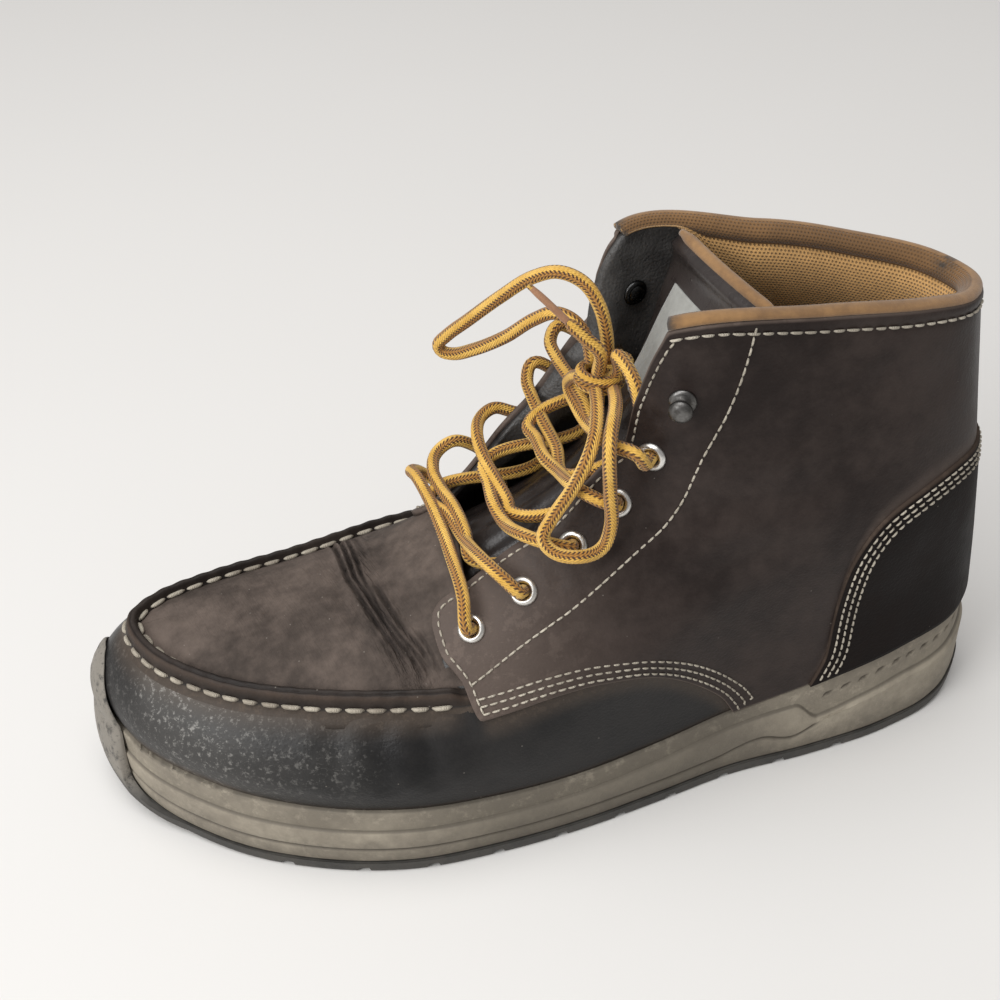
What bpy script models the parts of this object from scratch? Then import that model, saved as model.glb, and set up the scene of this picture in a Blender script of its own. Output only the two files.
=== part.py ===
"""Left lace-up work boot with a moc toe on a wedge sole.

Millimetres inside the functions, metres in the objects. Toe along +X, outer (lateral) side along +Y, up +Z.
Stations run round the rim of the sole: 0 at the toe, 1 to 11 down the lateral side, 12 at the heel and on
up the medial side to 24, which is the toe again. Height runs from 0 at the feather edge to 1 at the top.
"""
import math

import bmesh
import bpy
import numpy as np
from mathutils import Vector

NAME = "moc_toe_work_boot"
MM = 0.001

# Driving sizes
RIM_LENGTH = 307.0
BALL_WIDTH = 108.5
COLLAR_HEIGHT = 183.0
GAP = 0.3
WALL = 2.4
FEATHER_INSET = 1.0
QUARTER_THICK = 1.6
COUNTER_THICK = 2.7
INSOLE_THICK = 4.0
OUTSOLE_THICK = 4.6
SOLE_FLARE = 2.5
BUMPER_THICK = 3.0
TONGUE_THICK = 3.0
SEAM_HEIGHT = 3.4
EYELET_BORE = 2.0
EYELET_BARREL = 3.35
EYELET_FLANGE = 4.6
EYELET_RISE = 1.1
HOLE_RADIUS = 3.65
TRIM_LIFT = 1.0
LACE = 4.2
LACE_STEP = 2.5 * LACE
KNOT = 6.4
STUD_SHANK = 1.5
STUD_HOLE = 1.8
LUG_GROOVE_WIDTH = 4.0
LUG_GROOVE_DEPTH = 2.2

STATIONS = 24
HEEL = 12.0
PLUG_END = 4.75

# One row for each section from toe to heel. Rim is the top edge of the midsole, seam the moc seam in front
# and the fullest part of the ankle behind, top the middle of the apron, the instep ridge and the collar.
SECTION_COLUMNS = (
    "name", "rim_x", "rim_out", "rim_in", "seam_x", "seam_out", "seam_in", "seam_z",
    "top_x", "top_out", "top_in", "top_z", "top_in_drop", "crown", "swell",
)
SECTIONS = (
    ("toe", 304, -12, -12, 288.5, -10, -10, 62, 272, -8, -8, 67, 0, 1, -0.5),
    ("toe corner", 292, 15, -34, 280, 8, -21, 62, 264, -7, -7, 69, 0, 2, 0.5),
    ("forefoot", 268, 35.5, -45, 260, 24.5, -28.5, 62, 248, -5, -5, 71.5, 0, 3, 1.5),
    ("ball", 236, 50.5, -51.5, 232, 36.8, -34, 62.5, 226, -3, -3, 75, 0, 4, 1.5),
    ("vamp", 205, 57, -51.5, 203, 44, -41, 63, 201, -1, -1, 82, 0, 5, 1),
    ("tab", 176, 56, -47, 178, 47.5, -42, 65, 176, 0, 0, 97, 0, 9, 0.5),
    ("instep", 147, 52, -41, 148, 47.5, -40.5, 74, 154, 0, 0, 125, 0, 12, -0.5),
    ("ankle front", 120, 46, -37, 119, 44.5, -38.5, 86, 143, 0, 0, 152, 0, 12, -1),
    ("collar front", 93, 39.5, -35, 95, 41, -38, 97, 118, 30, -30, 183, 3, 0, -1),
    ("ankle side", 62, 36, -34.5, 63, 38, -37, 103, 72, 29.5, -28.5, 180.5, 3.5, 0, -1),
    ("heel side", 32, 30, -30, 34, 31.5, -31.5, 105, 40, 24.5, -24.5, 175, 5, 0, -2),
    ("heel corner", 8, 19, -19, 13, 18, -18, 106, 21, 14.5, -14.5, 169.5, 2.5, 0, -2.5),
    ("heel", -3, 0, 0, 6, 0, 0, 107, 14, 0, 0, 166.5, 0, 0, -3),
)
# Height of the rim and of the underside along the length
RIM_PROFILE = (
    (-3, 44), (8, 42.5), (27, 40.5), (47, 38), (65, 34.5), (93, 29.5), (120, 26.5), (150, 25), (180, 25.5),
    (207, 27), (236, 28.2), (268, 30.2), (292, 32.5), (304, 34),
)
UNDERSIDE = ((-8, 7), (0, 4.5), (10, 1.6), (22, 0), (252, 0), (270, 0.8), (285, 2.5), (295, 5), (304, 8.5), (312, 12))
# Lines moulded along the side of the midsole, as shares of its height
SIDE_LINE_COLUMNS = ("station", "lower", "upper")
SIDE_LINES = (
    (0, 0.26, 0.62), (3.6, 0.26, 0.62), (6, 0.27, 0.64), (7.75, 0.24, 0.73), (8.35, 0.36, 0.75),
    (8.75, 0.22, 0.735), (9.05, 0.33, 0.40), (9.6, 0.44, 0.50), (10.3, 0.5, 0.56), (12, 0.5, 0.56),
)
# Height of the toe bumper's top edge
BUMPER_TOP = ((0, 54), (0.25, 52), (0.5, 46.5), (0.68, 39), (0.76, 30), (0.84, 14), (1.13, 8.5), (1.5, 0))
# Edges drawn on the upper by station and height: lower edge of the quarter from the tab's front back over the
# vamp to the rim, upper edge of the tab from the throat forward, and the heel counter's edge from the rim up
# and over to the back
EDGE_COLUMNS = ("station", "height")
QUARTER_LOW = (
    (4.545, 0.66), (4.6, 0.58), (4.83, 0.47), (4.985, 0.335), (5.54, 0.335), (6.03, 0.325), (6.54, 0.285),
    (7.11, 0.215), (7.54, 0.135), (7.88, 0.055), (8.03, 0.0),
)
TAB_TOP = ((5.1, 0.775), (4.9, 0.764), (4.7, 0.748), (4.575, 0.715))
COUNTER = (
    (8.9, 0.0), (9.06, 0.1), (9.09, 0.24), (9.15, 0.345), (9.34, 0.44), (9.64, 0.5), (10.15, 0.54),
    (10.84, 0.562), (12, 0.548),
)
COUNTER_SEAM = 0.35
# Holes up the eyestay, lowest first; the last is the stud's
EYELETS = ((5.02, 0.62), (5.63, 0.65), (6.25, 0.68), (6.89, 0.69), (7.52, 0.75))
STUD = (7.98, 0.84)
# Tongue from its foot under the apron to its free top edge
TONGUE_COLUMNS = ("x", "z", "half_width", "bow", "skew")
TONGUE = (
    (193, 81.6, 21, 5, 0), (178, 87.5, 22, 6, 0), (158, 98, 22.5, 8, -0.02), (137, 113, 22.5, 9, -0.05),
    (118, 136, 23, 8, -0.1), (104, 159, 24.5, 4.5, -0.18), (94.5, 174.5, 25, 2, -0.24), (91, 182, 24, 1, -0.26),
)
# Section of the padded collar: distance below the top line, offset outward from the upper's outer face
COLLAR_COLUMNS = ("below", "out", "pad")
COLLAR = (
    (3.5, 1.8, 0), (1.9, 2.2, 0), (0.3, 1.5, 0), (-0.7, -0.8, 0), (-0.2, -3.0, -1.2), (2.5, -3.4, -3.2),
    (8, -3.4, -4.4), (16, -3.4, -4.2), (26, -3.4, -2.6), (34, -3.4, -0.6), (34.5, -2.7, 0), (18, -2.7, 0),
    (3.6, -2.7, 0),
)
# Lace strands across the throat, a group for each crossing, lowest first. A strand leaves an eyelet, runs through
# its points in boot millimetres, and ends at another eyelet or under the other strand.
LACE_CROSSINGS = (
    (
        (("lateral", 1), ((179.1, 31.8, 93.2), (180.2, 15, 95), (181.9, 0, 97), (184.1, -13, 98.5), (186.7, -24, 99.3),
                          (187.9, -30, 97), (184.5, -36.5, 91)), ("medial", 1)),
        (("medial", 2), ((165.9, -34.5, 101), (172.5, -33, 104.9), (178.4, -31, 102.7), (180.9, -23, 101.6),
                         (179.5, -15, 100.2), (176.4, -4, 99.8), (174.5, 7, 98), (174, 16, 94.5)), None),
        (("lateral", 2), ((166.2, 35.4, 101.3), (171.4, 25.8, 102.1), (175.3, 9, 97.2), (178.6, -4, 97),
                          (183.2, -15, 97.5)), None),
    ),
    (
        (("medial", 3), ((152.9, -33.5, 114), (157.9, -33, 116.3), (162.8, -30, 115.5), (165.4, -22, 114.7),
                         (164.9, -13, 112.3), (162.7, -3, 110.4), (160.4, 7, 108.6), (159.9, 11.5, 107.6)), None),
        (("lateral", 3), ((152.5, 33.4, 112.1), (158.8, 27.8, 111.8), (162.9, 17, 108.3), (164.9, 8, 108.6),
                          (164.9, -2, 109), (164.5, -12, 110.5)), None),
    ),
    (
        (("medial", 4), ((138, -34, 128.5), (144.4, -33, 132.1), (146.8, -30, 128), (146.3, -24, 125.2),
                         (144.5, -12, 122.5), (143, 0, 121.5), (143.2, 13.5, 121.3)), None),
        (("lateral", 4), ((137, 33.8, 126.5), (142, 28.4, 127.2), (144.9, 12, 121.8), (147.6, 4, 121.5),
                          (148.3, -6, 121.5), (149.4, -14, 122)), None),
    ),
    (
        (("medial", 5), ((130, -34.5, 142), (135.8, -33, 145.2), (138.6, -30.5, 141.6), (137.7, -25, 138.8),
                         (135.5, -14, 137.6), (133.3, -2, 136.3), (132.5, 7, 134.8)), None),
        (("lateral", 5), ((126.2, 36, 143.2), (131.2, 30.6, 143), (132.6, 17, 137), (134.1, 6, 133.4),
                          (135.6, -3, 134.1), (136.6, -11, 137), (136, -8, 142), (134.2, -2.6, 146.3)), None),
    ),
)
# Bow: knot, two loops and two ends
LACE_KNOT = ((133.2, -0.2, 148.4), (129.8, 0.6, 148.9), (126.6, 1.6, 148.6), (123.6, 2.8, 147.8))
LACE_BOW = (
    ("lace_loop_upper", (
        (126.8, 1, 152.4), (126.9, 0, 161.2), (128.5, -3, 170), (132.1, -7, 175.7), (138.5, -11, 178),
        (145.8, -16, 174.5), (155.3, -22, 165.4), (165, -28, 154.9), (172, -32, 146.8), (174.4, -33, 143.1),
        (172.1, -32, 141.2), (164.5, -27, 144.3), (154.7, -20, 152.1), (146.2, -13, 161.7), (140.6, -8, 166),
        (135.6, -4, 164.6), (132.2, -1.5, 158.3), (131.6, -0.2, 152.4))),
    ("lace_loop_lower", (
        (131.4, 4.8, 146.4), (134, 19, 145), (138.5, 30, 141.5), (144.6, 32.6, 130.8), (151.5, 35, 122.4),
        (154.4, 37, 117.6), (152.2, 39.8, 114.3), (145.4, 42.8, 113.4), (137.6, 40.2, 112.9), (134.6, 39.4, 119.6),
        (134.6, 39, 133.5), (134.2, 36.4, 147.6), (128.6, 19.6, 149), (126, 6, 145.8))),
    ("lace_end_upper", (
        (130.6, 4.9, 151.4), (130.4, 6.4, 159.8), (134.5, 5, 164.4), (139.1, 3, 169.4), (144.5, 1, 175.4),
        (149.7, -2, 180.5))),
    ("lace_end_near", (
        (124.4, 5.2, 151.1), (125.2, 7.5, 158.4), (124.3, 11, 158.4), (122.9, 15.5, 156.3), (122.2, 18.6, 153.9))),
)
# Lug grooves across the underside, from the heel forward
LUG_GROOVES = (52, 74, 95, 115, 134, 155, 177, 199, 222, 247)


def column(columns, rows, name):
    """Pick one named column of a table as an array."""
    place = columns.index(name)
    return np.array([row[place] for row in rows], float)


def section(name):
    """Pick one column of the section table."""
    return column(SECTION_COLUMNS, SECTIONS, name)


LENGTH_SCALE = RIM_LENGTH / (section("rim_x").max() - section("rim_x").min())
WIDTH_SCALE = BALL_WIDTH / (section("rim_out").max() - section("rim_in").min())
HEIGHT_SCALE = COLLAR_HEIGHT / section("top_z").max()


def smooth(table_x, table_y):
    """Monotone cubic through table points, as a function."""
    xs = np.asarray(table_x, float)
    ys = np.asarray(table_y, float)
    step = np.diff(xs)
    slope = np.diff(ys) / step
    total = slope[:-1] + slope[1:]
    same = slope[:-1] * slope[1:] > 0
    tangent = np.zeros_like(ys)
    tangent[1:-1] = np.where(same, 2 * slope[:-1] * slope[1:] / np.where(same, total, 1), 0)
    tangent[0] = slope[0]
    tangent[-1] = slope[-1]

    def value(x):
        x = np.clip(np.asarray(x, float), xs[0], xs[-1])
        i = np.clip(np.searchsorted(xs, x) - 1, 0, len(step) - 1)
        s = (x - xs[i]) / step[i]
        start = (1 + 2 * s) * (1 - s) ** 2 * ys[i] + s * (1 - s) ** 2 * step[i] * tangent[i]
        end = s * s * (3 - 2 * s) * ys[i + 1] + s * s * (s - 1) * step[i] * tangent[i + 1]
        return start + end

    return value


def smooth_table(columns, rows, key, name):
    """Smooth function of one table column over another."""
    return smooth(column(columns, rows, key), column(columns, rows, name))


RIM_Z = smooth(*zip(*RIM_PROFILE))
UNDERSIDE_Z = smooth(*zip(*UNDERSIDE))
BUMPER_Z = smooth(*zip(*BUMPER_TOP))
LOWER_LINE = smooth_table(SIDE_LINE_COLUMNS, SIDE_LINES, "station", "lower")
UPPER_LINE = smooth_table(SIDE_LINE_COLUMNS, SIDE_LINES, "station", "upper")


def rim_z(x):
    """Height of the midsole's top edge at a length."""
    return RIM_Z(np.asarray(x) / LENGTH_SCALE) * HEIGHT_SCALE


def underside_z(x):
    """Height of the outsole's underside at a length."""
    return UNDERSIDE_Z(np.asarray(x) / LENGTH_SCALE)


def fold(station):
    """Station measured from the toe on either side, 0 to 12."""
    station = np.mod(np.asarray(station, float), STATIONS)
    return np.minimum(station, STATIONS - station)


def ring_points(group, height):
    """The 24 points of one named ring, toe, lateral side, heel, medial side."""
    x = section(group + "_x") * LENGTH_SCALE
    outer = section(group + "_out") * WIDTH_SCALE
    inner = section(group + "_in") * WIDTH_SCALE
    drop = section("top_in_drop") * HEIGHT_SCALE if group == "top" else np.zeros_like(x)
    lateral = np.stack([x, outer, height], -1)
    medial = np.stack([x, inner, height - drop], -1)
    return np.concatenate([lateral, medial[11:0:-1]])


def plan_normals(ring):
    """Outward normals of a ring seen from above."""
    along = np.roll(ring, -1, 0) - np.roll(ring, 1, 0)
    normal = np.stack([along[:, 1], -along[:, 0], np.zeros(len(ring))], -1)
    normal /= np.linalg.norm(normal, axis=1)[:, None]
    return normal


def both_sides(name):
    """One value of the section table at all 24 stations."""
    values = section(name)
    return np.concatenate([values, values[11:0:-1]])


def control_net():
    """Rings of control points: feather, swell, seam, shoulder, top."""
    rim = ring_points("rim", rim_z(section("rim_x") * LENGTH_SCALE))
    seam = ring_points("seam", section("seam_z") * HEIGHT_SCALE)
    top = ring_points("top", section("top_z") * HEIGHT_SCALE)
    normal = plan_normals(rim)
    up = np.array([0.0, 0.0, 1.0])
    feather = rim - normal * FEATHER_INSET + up * GAP
    rise = np.minimum(0.36 * (seam[:, 2] - feather[:, 2]), 22.0)
    swell = rim + normal * both_sides("swell")[:, None] + up * rise[:, None]
    shoulder = (seam + top) / 2 + up * both_sides("crown")[:, None]
    return rim, np.stack([feather, swell, seam, shoulder, top], 1)


RIM, NET = control_net()
SPAN = np.linalg.norm(np.roll(RIM, -1, 0) - RIM, axis=1)
SPAN = (SPAN + SPAN[::-1]) / 2


def round_ring(points, station):
    """Read a ring of station points at any station; points may carry more axes."""
    station = np.mod(np.asarray(station, float), STATIONS)
    i = np.floor(station).astype(int) % STATIONS
    extra = (1,) * (points.ndim - 1)
    s = (station - np.floor(station)).reshape((-1,) + extra)
    span = SPAN.reshape((-1,) + extra)
    before = np.roll(span, 1, 0)
    slope = (np.roll(points, -1, 0) - points) / span
    tangent = (np.roll(slope, 1, 0) * span + slope * before) / (span + before)
    j = (i + 1) % STATIONS
    start = (1 + 2 * s) * (1 - s) ** 2 * points[i] + s * (1 - s) ** 2 * span[i] * tangent[i]
    end = s * s * (3 - 2 * s) * points[j] + s * s * (s - 1) * span[i] * tangent[j]
    return start + end


def knots_of(rows):
    """Shares of the way up each column at its control points."""
    length = np.linalg.norm(np.diff(rows, axis=1), axis=2)
    knots = np.concatenate([np.zeros((len(rows), 1)), np.cumsum(length, 1)], 1)
    return knots / knots[:, -1:], knots[:, -1]


def up_column(rows, knots, height):
    """Read each column at one height."""
    step = np.diff(knots, axis=1)[..., None]
    slope = np.diff(rows, axis=1) / step
    tangent = np.empty_like(rows)
    tangent[:, 1:-1] = (slope[:, :-1] * step[:, 1:] + slope[:, 1:] * step[:, :-1]) / (step[:, :-1] + step[:, 1:])
    tangent[:, 0] = 1.5 * slope[:, 0] - 0.5 * tangent[:, 1]
    tangent[:, -1] = 1.5 * slope[:, -1] - 0.5 * tangent[:, -2]
    n = np.arange(len(rows))
    i = np.clip((height[:, None] >= knots[:, 1:-1]).sum(1), 0, rows.shape[1] - 2)
    span = step[n, i]
    s = (height[:, None] - knots[n, i][:, None]) / span
    start = (1 + 2 * s) * (1 - s) ** 2 * rows[n, i] + s * (1 - s) ** 2 * span * tangent[n, i]
    end = s * s * (3 - 2 * s) * rows[n, i + 1] + s * s * (s - 1) * span * tangent[n, i + 1]
    return start + end


def wall(station, height):
    """Outer face of the upper at stations and heights of any one shape."""
    station, height = np.broadcast_arrays(np.asarray(station, float), np.asarray(height, float))
    rows = round_ring(NET, station.ravel())
    knots, _ = knots_of(rows)
    return up_column(rows, knots, height.ravel()).reshape(station.shape + (3,))


def wall_normal(station, height):
    """Outward unit normal of the upper."""
    station, height = np.broadcast_arrays(np.asarray(station, float), np.asarray(height, float))
    step = 0.004
    low = np.clip(height - step, 0, 1)
    high = np.clip(height + step, 0, 1)
    across = wall(station + step * 4, height) - wall(station - step * 4, height)
    rise = wall(station, high) - wall(station, low)
    normal = np.cross(across, rise)
    return normal / np.linalg.norm(normal, axis=-1, keepdims=True)


def skin(station, height, offset):
    """The upper's face moved outward by an offset."""
    offset = np.asarray(offset, float)
    return wall(station, height) + wall_normal(station, height) * offset[..., None]


def seam_height(station):
    """Height of the moc seam, or of the fullest part behind it."""
    knots, _ = knots_of(round_ring(NET, np.asarray(station, float).ravel()))
    return knots[:, 2].reshape(np.shape(station))


def column_length(station):
    """Length of a column from feather edge to top."""
    _, length = knots_of(round_ring(NET, np.asarray(station, float).ravel()))
    return length.reshape(np.shape(station))


def rim_outline(station, offset):
    """Rim of the sole moved outward in plan."""
    station = np.asarray(station, float).ravel()
    step = 0.02
    centre = round_ring(RIM, station)
    along = round_ring(RIM, station + step) - round_ring(RIM, station - step)
    normal = np.stack([along[:, 1], -along[:, 0], np.zeros(len(along))], -1)
    normal /= np.linalg.norm(normal, axis=1)[:, None]
    return centre + normal * np.asarray(offset, float).reshape(-1, 1)


def mirrored(stations):
    """Stations of the lateral side and their partners on the medial side, once round."""
    lateral = np.asarray(stations, float)
    return np.concatenate([lateral, STATIONS - lateral[-2:0:-1]])


SOLE_STATIONS = mirrored([0, 0.25, 0.5, 0.68, 0.76, 0.84, 1.13, 1.5, 2, 2.5, 3, 3.5, 4, 4.5, 5, 5.5, 6, 6.6, 7.2,
                          7.75, 8.35, 8.75, 9.05, 9.35, 9.7, 10.1, 10.5, 11, 11.5, 12])

SOLE_LOW = rim_outline(SOLE_STATIONS, SOLE_FLARE + GAP + 0.1)
BUMPER_REACH = BUMPER_THICK * (1 - smooth((0.84, 1.6), (0.0, 1.0))(fold(SOLE_STATIONS)))
SOLE_EDGE = rim_outline(SOLE_STATIONS, SOLE_FLARE + GAP + 0.1 + BUMPER_REACH)
ORIGIN = np.array([
    (SOLE_EDGE[:, 0].min() + SOLE_EDGE[:, 0].max()) / 2,
    (SOLE_EDGE[:, 1].min() + SOLE_EDGE[:, 1].max()) / 2,
    0.0,
])


def clear_scene():
    """Remove what a new file holds."""
    for item in list(bpy.data.objects):
        bpy.data.objects.remove(item, do_unlink=True)


def new_collection(name):
    """Make a collection in the scene."""
    group = bpy.data.collections.new(name)
    bpy.context.scene.collection.children.link(group)
    return group


def material(name, colour, roughness, metallic=0.0):
    """Make a plain Principled material."""
    made = bpy.data.materials.new(name)
    made.use_nodes = True
    shader = made.node_tree.nodes["Principled BSDF"]
    shader.inputs["Base Color"].default_value = (*colour, 1.0)
    shader.inputs["Roughness"].default_value = roughness
    shader.inputs["Metallic"].default_value = metallic
    return made


def to_row(points):
    """Boot millimetres to row-frame metres."""
    return (np.asarray(points, float).reshape(-1, 3) - ORIGIN) * MM


def solid(name, points, faces, finish, group):
    """Make an object from points in millimetres, with doubled points merged and normals outward."""
    mesh = bpy.data.meshes.new(name)
    mesh.from_pydata([tuple(p) for p in to_row(points)], [], faces)
    work = bmesh.new()
    work.from_mesh(mesh)
    bmesh.ops.remove_doubles(work, verts=work.verts, dist=0.00002)
    bmesh.ops.dissolve_degenerate(work, edges=work.edges, dist=0.00001)
    bmesh.ops.recalc_face_normals(work, faces=work.faces)
    closed = all(len(edge.link_faces) == 2 for edge in work.edges)
    if closed and work.calc_volume(signed=True) < 0:
        bmesh.ops.reverse_faces(work, faces=work.faces)
    work.to_mesh(mesh)
    work.free()
    made = bpy.data.objects.new(name, mesh)
    made.data.materials.append(finish)
    group.objects.link(made)
    return made


def grid_faces(rows, columns, start=0, closed=False):
    """Quads of a grid stored row by row."""
    faces = []
    reach = columns if closed else columns - 1
    for r in range(rows - 1):
        for c in range(reach):
            d = (c + 1) % columns
            a = start + r * columns
            b = a + columns
            faces.append((a + c, a + d, b + d, b + c))
    return faces


def split(faces):
    """Cut quads into triangles, so that sheets over one another fold along the same lines."""
    halves = []
    for a, b, c, d in faces:
        halves += [(a, b, c), (a, c, d)]
    return halves


def ladder_faces(count, start):
    """Cap of a ring of mirrored stations, crossed rung by rung."""
    half = count // 2
    faces = [(start, start + 1, start + count - 1), (start + half - 1, start + half, start + half + 1)]
    for k in range(1, half - 1):
        faces.append((start + k, start + k + 1, start + count - k - 1, start + count - k))
    return faces


def ring_solid(name, rings, finish, group):
    """Closed solid from rings of mirrored stations, capped at both ends."""
    count = len(rings[0])
    points = np.concatenate(rings)
    faces = grid_faces(len(rings), count, closed=True)
    faces += ladder_faces(count, 0)
    faces += ladder_faces(count, (len(rings) - 1) * count)
    return solid(name, points, faces, finish, group)


def swept_solid(name, sections, finish, group):
    """Closed solid from closed sections carried along a path, with flat ends."""
    count = len(sections[0])
    points = np.concatenate(sections)
    faces = grid_faces(len(sections), count, closed=True)
    last = (len(sections) - 1) * count
    faces.append(tuple(range(count)))
    faces.append(tuple(range(last, last + count)))
    return solid(name, points, faces, finish, group)


def shell(made, thickness, outward):
    """Give an open surface its thickness."""
    mod = made.modifiers.new("wall", "SOLIDIFY")
    mod.thickness = thickness * MM
    mod.offset = 1.0 if outward else -1.0
    mod.use_even_offset = True
    mod.use_rim = True
    return made


def cut(made, tool):
    """Cut one solid with another."""
    mod = made.modifiers.new("cut", "BOOLEAN")
    mod.operation = "DIFFERENCE"
    mod.solver = "EXACT"
    mod.object = tool
    return made


def as_cutter(tool):
    """Keep a cutter out of the picture."""
    tool.hide_render = True
    tool.display_type = "WIRE"
    return tool


def plate_top(points):
    """Top of the outsole plate under given points."""
    return underside_z(points[:, 0]) + OUTSOLE_THICK


def with_height(points, z):
    """Copy points at new heights."""
    moved = points.copy()
    moved[:, 2] = z
    return moved


def build_midsole(finish, group):
    """Wedge midsole with its moulded side bands."""
    stations = SOLE_STATIONS
    top = rim_outline(stations, 0.0)
    bottom = plate_top(rim_outline(stations, SOLE_FLARE)) + GAP
    lower = LOWER_LINE(fold(stations))
    upper = UPPER_LINE(fold(stations))
    bands = (
        (np.zeros_like(lower), SOLE_FLARE),
        (lower - 0.05, SOLE_FLARE - 0.1),
        (lower, SOLE_FLARE - 1.0),
        (lower + 0.05, SOLE_FLARE - 0.3),
        (upper - 0.02, SOLE_FLARE - 0.7),
        (upper + 0.02, SOLE_FLARE - 1.7),
        (np.full_like(lower, 0.95), 0.4),
        (np.ones_like(lower), 0.0),
    )
    rings = []
    for share, reach in bands:
        outline = rim_outline(stations, reach)
        rings.append(with_height(outline, bottom + (top[:, 2] - bottom) * share))
    return ring_solid("midsole", rings, finish, group)


def bumper_ring(share, offset):
    """Ring up the bumper: along the midsole's side, then the upper's wall."""
    points = []
    for k, station in enumerate(SOLE_STATIONS):
        low = SOLE_LOW[k]
        base = underside_z(low[0]) + OUTSOLE_THICK
        z = base + max(float(BUMPER_Z(fold(station))) - base, 0.0) * share
        rim = round_ring(RIM, [station])[0]
        lift = np.clip((z - base) / (rim[2] - base), 0, 1)
        reach = SOLE_FLARE * (1 - lift * lift) + GAP + 0.2
        point = rim_outline([station], reach + offset * BUMPER_REACH[k] / BUMPER_THICK)[0]
        point[2] = z
        if z > rim[2]:
            heights = np.linspace(0, 0.6, 61)
            column_points = wall(np.full(61, station), heights)
            height = np.interp(z, column_points[:, 2], heights)
            ease = 1.0 - (z - rim[2]) / 22.0
            point = skin(np.array([station]), np.array([height]), np.array([GAP + 0.9 * ease + offset]))[0]
        points.append(point)
    return np.array(points)


def build_outsole(finish, group, tools):
    """Rubber plate with the toe bumper rolled up from it and grooves cut between the lugs."""
    ground = underside_z(SOLE_EDGE[:, 0])
    rings = [
        with_height(rim_outline(SOLE_STATIONS, SOLE_FLARE - 1.0 + BUMPER_REACH), ground),
        with_height(SOLE_EDGE, ground + 0.4 * OUTSOLE_THICK),
        with_height(SOLE_EDGE, plate_top(SOLE_LOW)),
    ]
    for share in (0.3, 0.6, 0.74, 0.88):
        rings.append(bumper_ring(share, BUMPER_THICK))
    rings.append(bumper_ring(1.0, BUMPER_THICK * 0.55))
    for share in (1.0, 0.88, 0.74, 0.6, 0.3, 0.0):
        rings.append(bumper_ring(share, 0.25))
    outsole = ring_solid("outsole", rings, finish, group)
    points = []
    faces = []
    for x in LUG_GROOVES:
        start = len(points)
        half = LUG_GROOVE_WIDTH / 2
        for z, spread in ((-2.0, 1.6), (LUG_GROOVE_DEPTH, 0.8)):
            for dx, y in ((-half * spread, -90.0), (half * spread, -90.0), (half * spread, 90.0), (-half * spread, 90.0)):
                points.append((x + dx, y, z))
        faces += [(start, start + 1, start + 2, start + 3), (start + 4, start + 5, start + 6, start + 7)]
        for k in range(4):
            n = (k + 1) % 4
            faces.append((start + k, start + n, start + n + 4, start + k + 4))
    grooves = as_cutter(solid("lug_grooves", points, faces, finish, tools))
    return cut(outsole, grooves)


def build_insole(finish, group):
    """Footbed lying on the midsole inside the upper."""
    inset = -(FEATHER_INSET + WALL + 1.4)
    outline = rim_outline(SOLE_STATIONS, inset)
    base = rim_z(outline[:, 0]) + GAP
    soft = rim_outline(SOLE_STATIONS, inset - 0.8)
    rings = [
        with_height(outline, base),
        with_height(outline, base + INSOLE_THICK - 1.0),
        with_height(soft, base + INSOLE_THICK),
    ]
    return ring_solid("insole", rings, finish, group)


UPPER_STATIONS = [0, 0.5, 1, 1.5, 2, 2.5, 3, 3.5, 4, 4.4, PLUG_END, 5.1, 5.5, 6, 6.5, 7, 7.4, 7.75, 8.02, 8.4, 8.8,
                  9.3, 9.8, 10.25, 10.65, 11.05, 11.5, 12]
WALL_ROWS = 7
PLUG_ROWS = 4
THROAT = smooth((4.57, 4.7, 5.0, 5.5, 6.07, 6.6, 7.17, 7.6, 7.95, 8.3, 12),
                (0.72, 0.75, 0.763, 0.78, 0.769, 0.769, 0.782, 0.87, 0.952, 0.96, 0.96))


def wall_top(station):
    """Top of the side wall: moc seam in front, throat and collar behind."""
    station = fold(station)
    blend = np.clip((station - (PLUG_END - 0.4)) / 0.4, 0, 1)
    blend = blend * blend * (3 - 2 * blend)
    return seam_height(station) * (1 - blend) + THROAT(station) * blend


def half_grid(stations, offset):
    """One side of the upper as a grid: wall rows, then apron rows where the apron reaches."""
    stations = np.asarray(stations, float)
    count = len(stations)
    top = wall_top(stations)
    points = []
    for r in range(WALL_ROWS + 1):
        points.append(skin(stations, top * r / WALL_ROWS, np.full(count, offset)))
    faces = grid_faces(WALL_ROWS + 1, count)
    apron = int((fold(stations) <= PLUG_END).sum())
    before = WALL_ROWS * count
    start = (WALL_ROWS + 1) * count
    for r in range(1, PLUG_ROWS + 1):
        level = top[:apron] + (1 - top[:apron]) * r / PLUG_ROWS
        points.append(skin(stations[:apron], level, np.full(apron, offset)))
        for k in range(apron - 1):
            faces.append((before + k + 1, start + k + 1, start + k, before + k))
        before = start
        start += apron
    return np.concatenate(points), split(faces)


def both_halves(stations, offset):
    """Both sides of the upper over the same stations, to be merged where they meet."""
    lateral, faces = half_grid(stations, offset)
    medial, _ = half_grid(-np.asarray(stations, float), offset)
    other = [tuple(v + len(lateral) for v in reversed(face)) for face in faces]
    return np.concatenate([lateral, medial]), faces + other


def build_upper(finish, group, holes):
    """Hollow upper: side wall all round and the apron, opened at collar, throat and underneath."""
    points, faces = both_halves(UPPER_STATIONS, 0.0)
    upper = solid("upper", points, faces, finish, group)
    shell(upper, WALL, outward=False)
    return cut(upper, holes)


def side_prism(name, outline, near, far, finish, group):
    """Cutter drawn in side view and carried across the boot."""
    count = len(outline)
    points = [(x, y, z) for y in (near, far) for x, z in outline]
    faces = grid_faces(2, count, closed=True)
    faces.append(tuple(range(count)))
    faces.append(tuple(range(count, 2 * count)))
    return as_cutter(solid(name, points, faces, finish, group))


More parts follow.
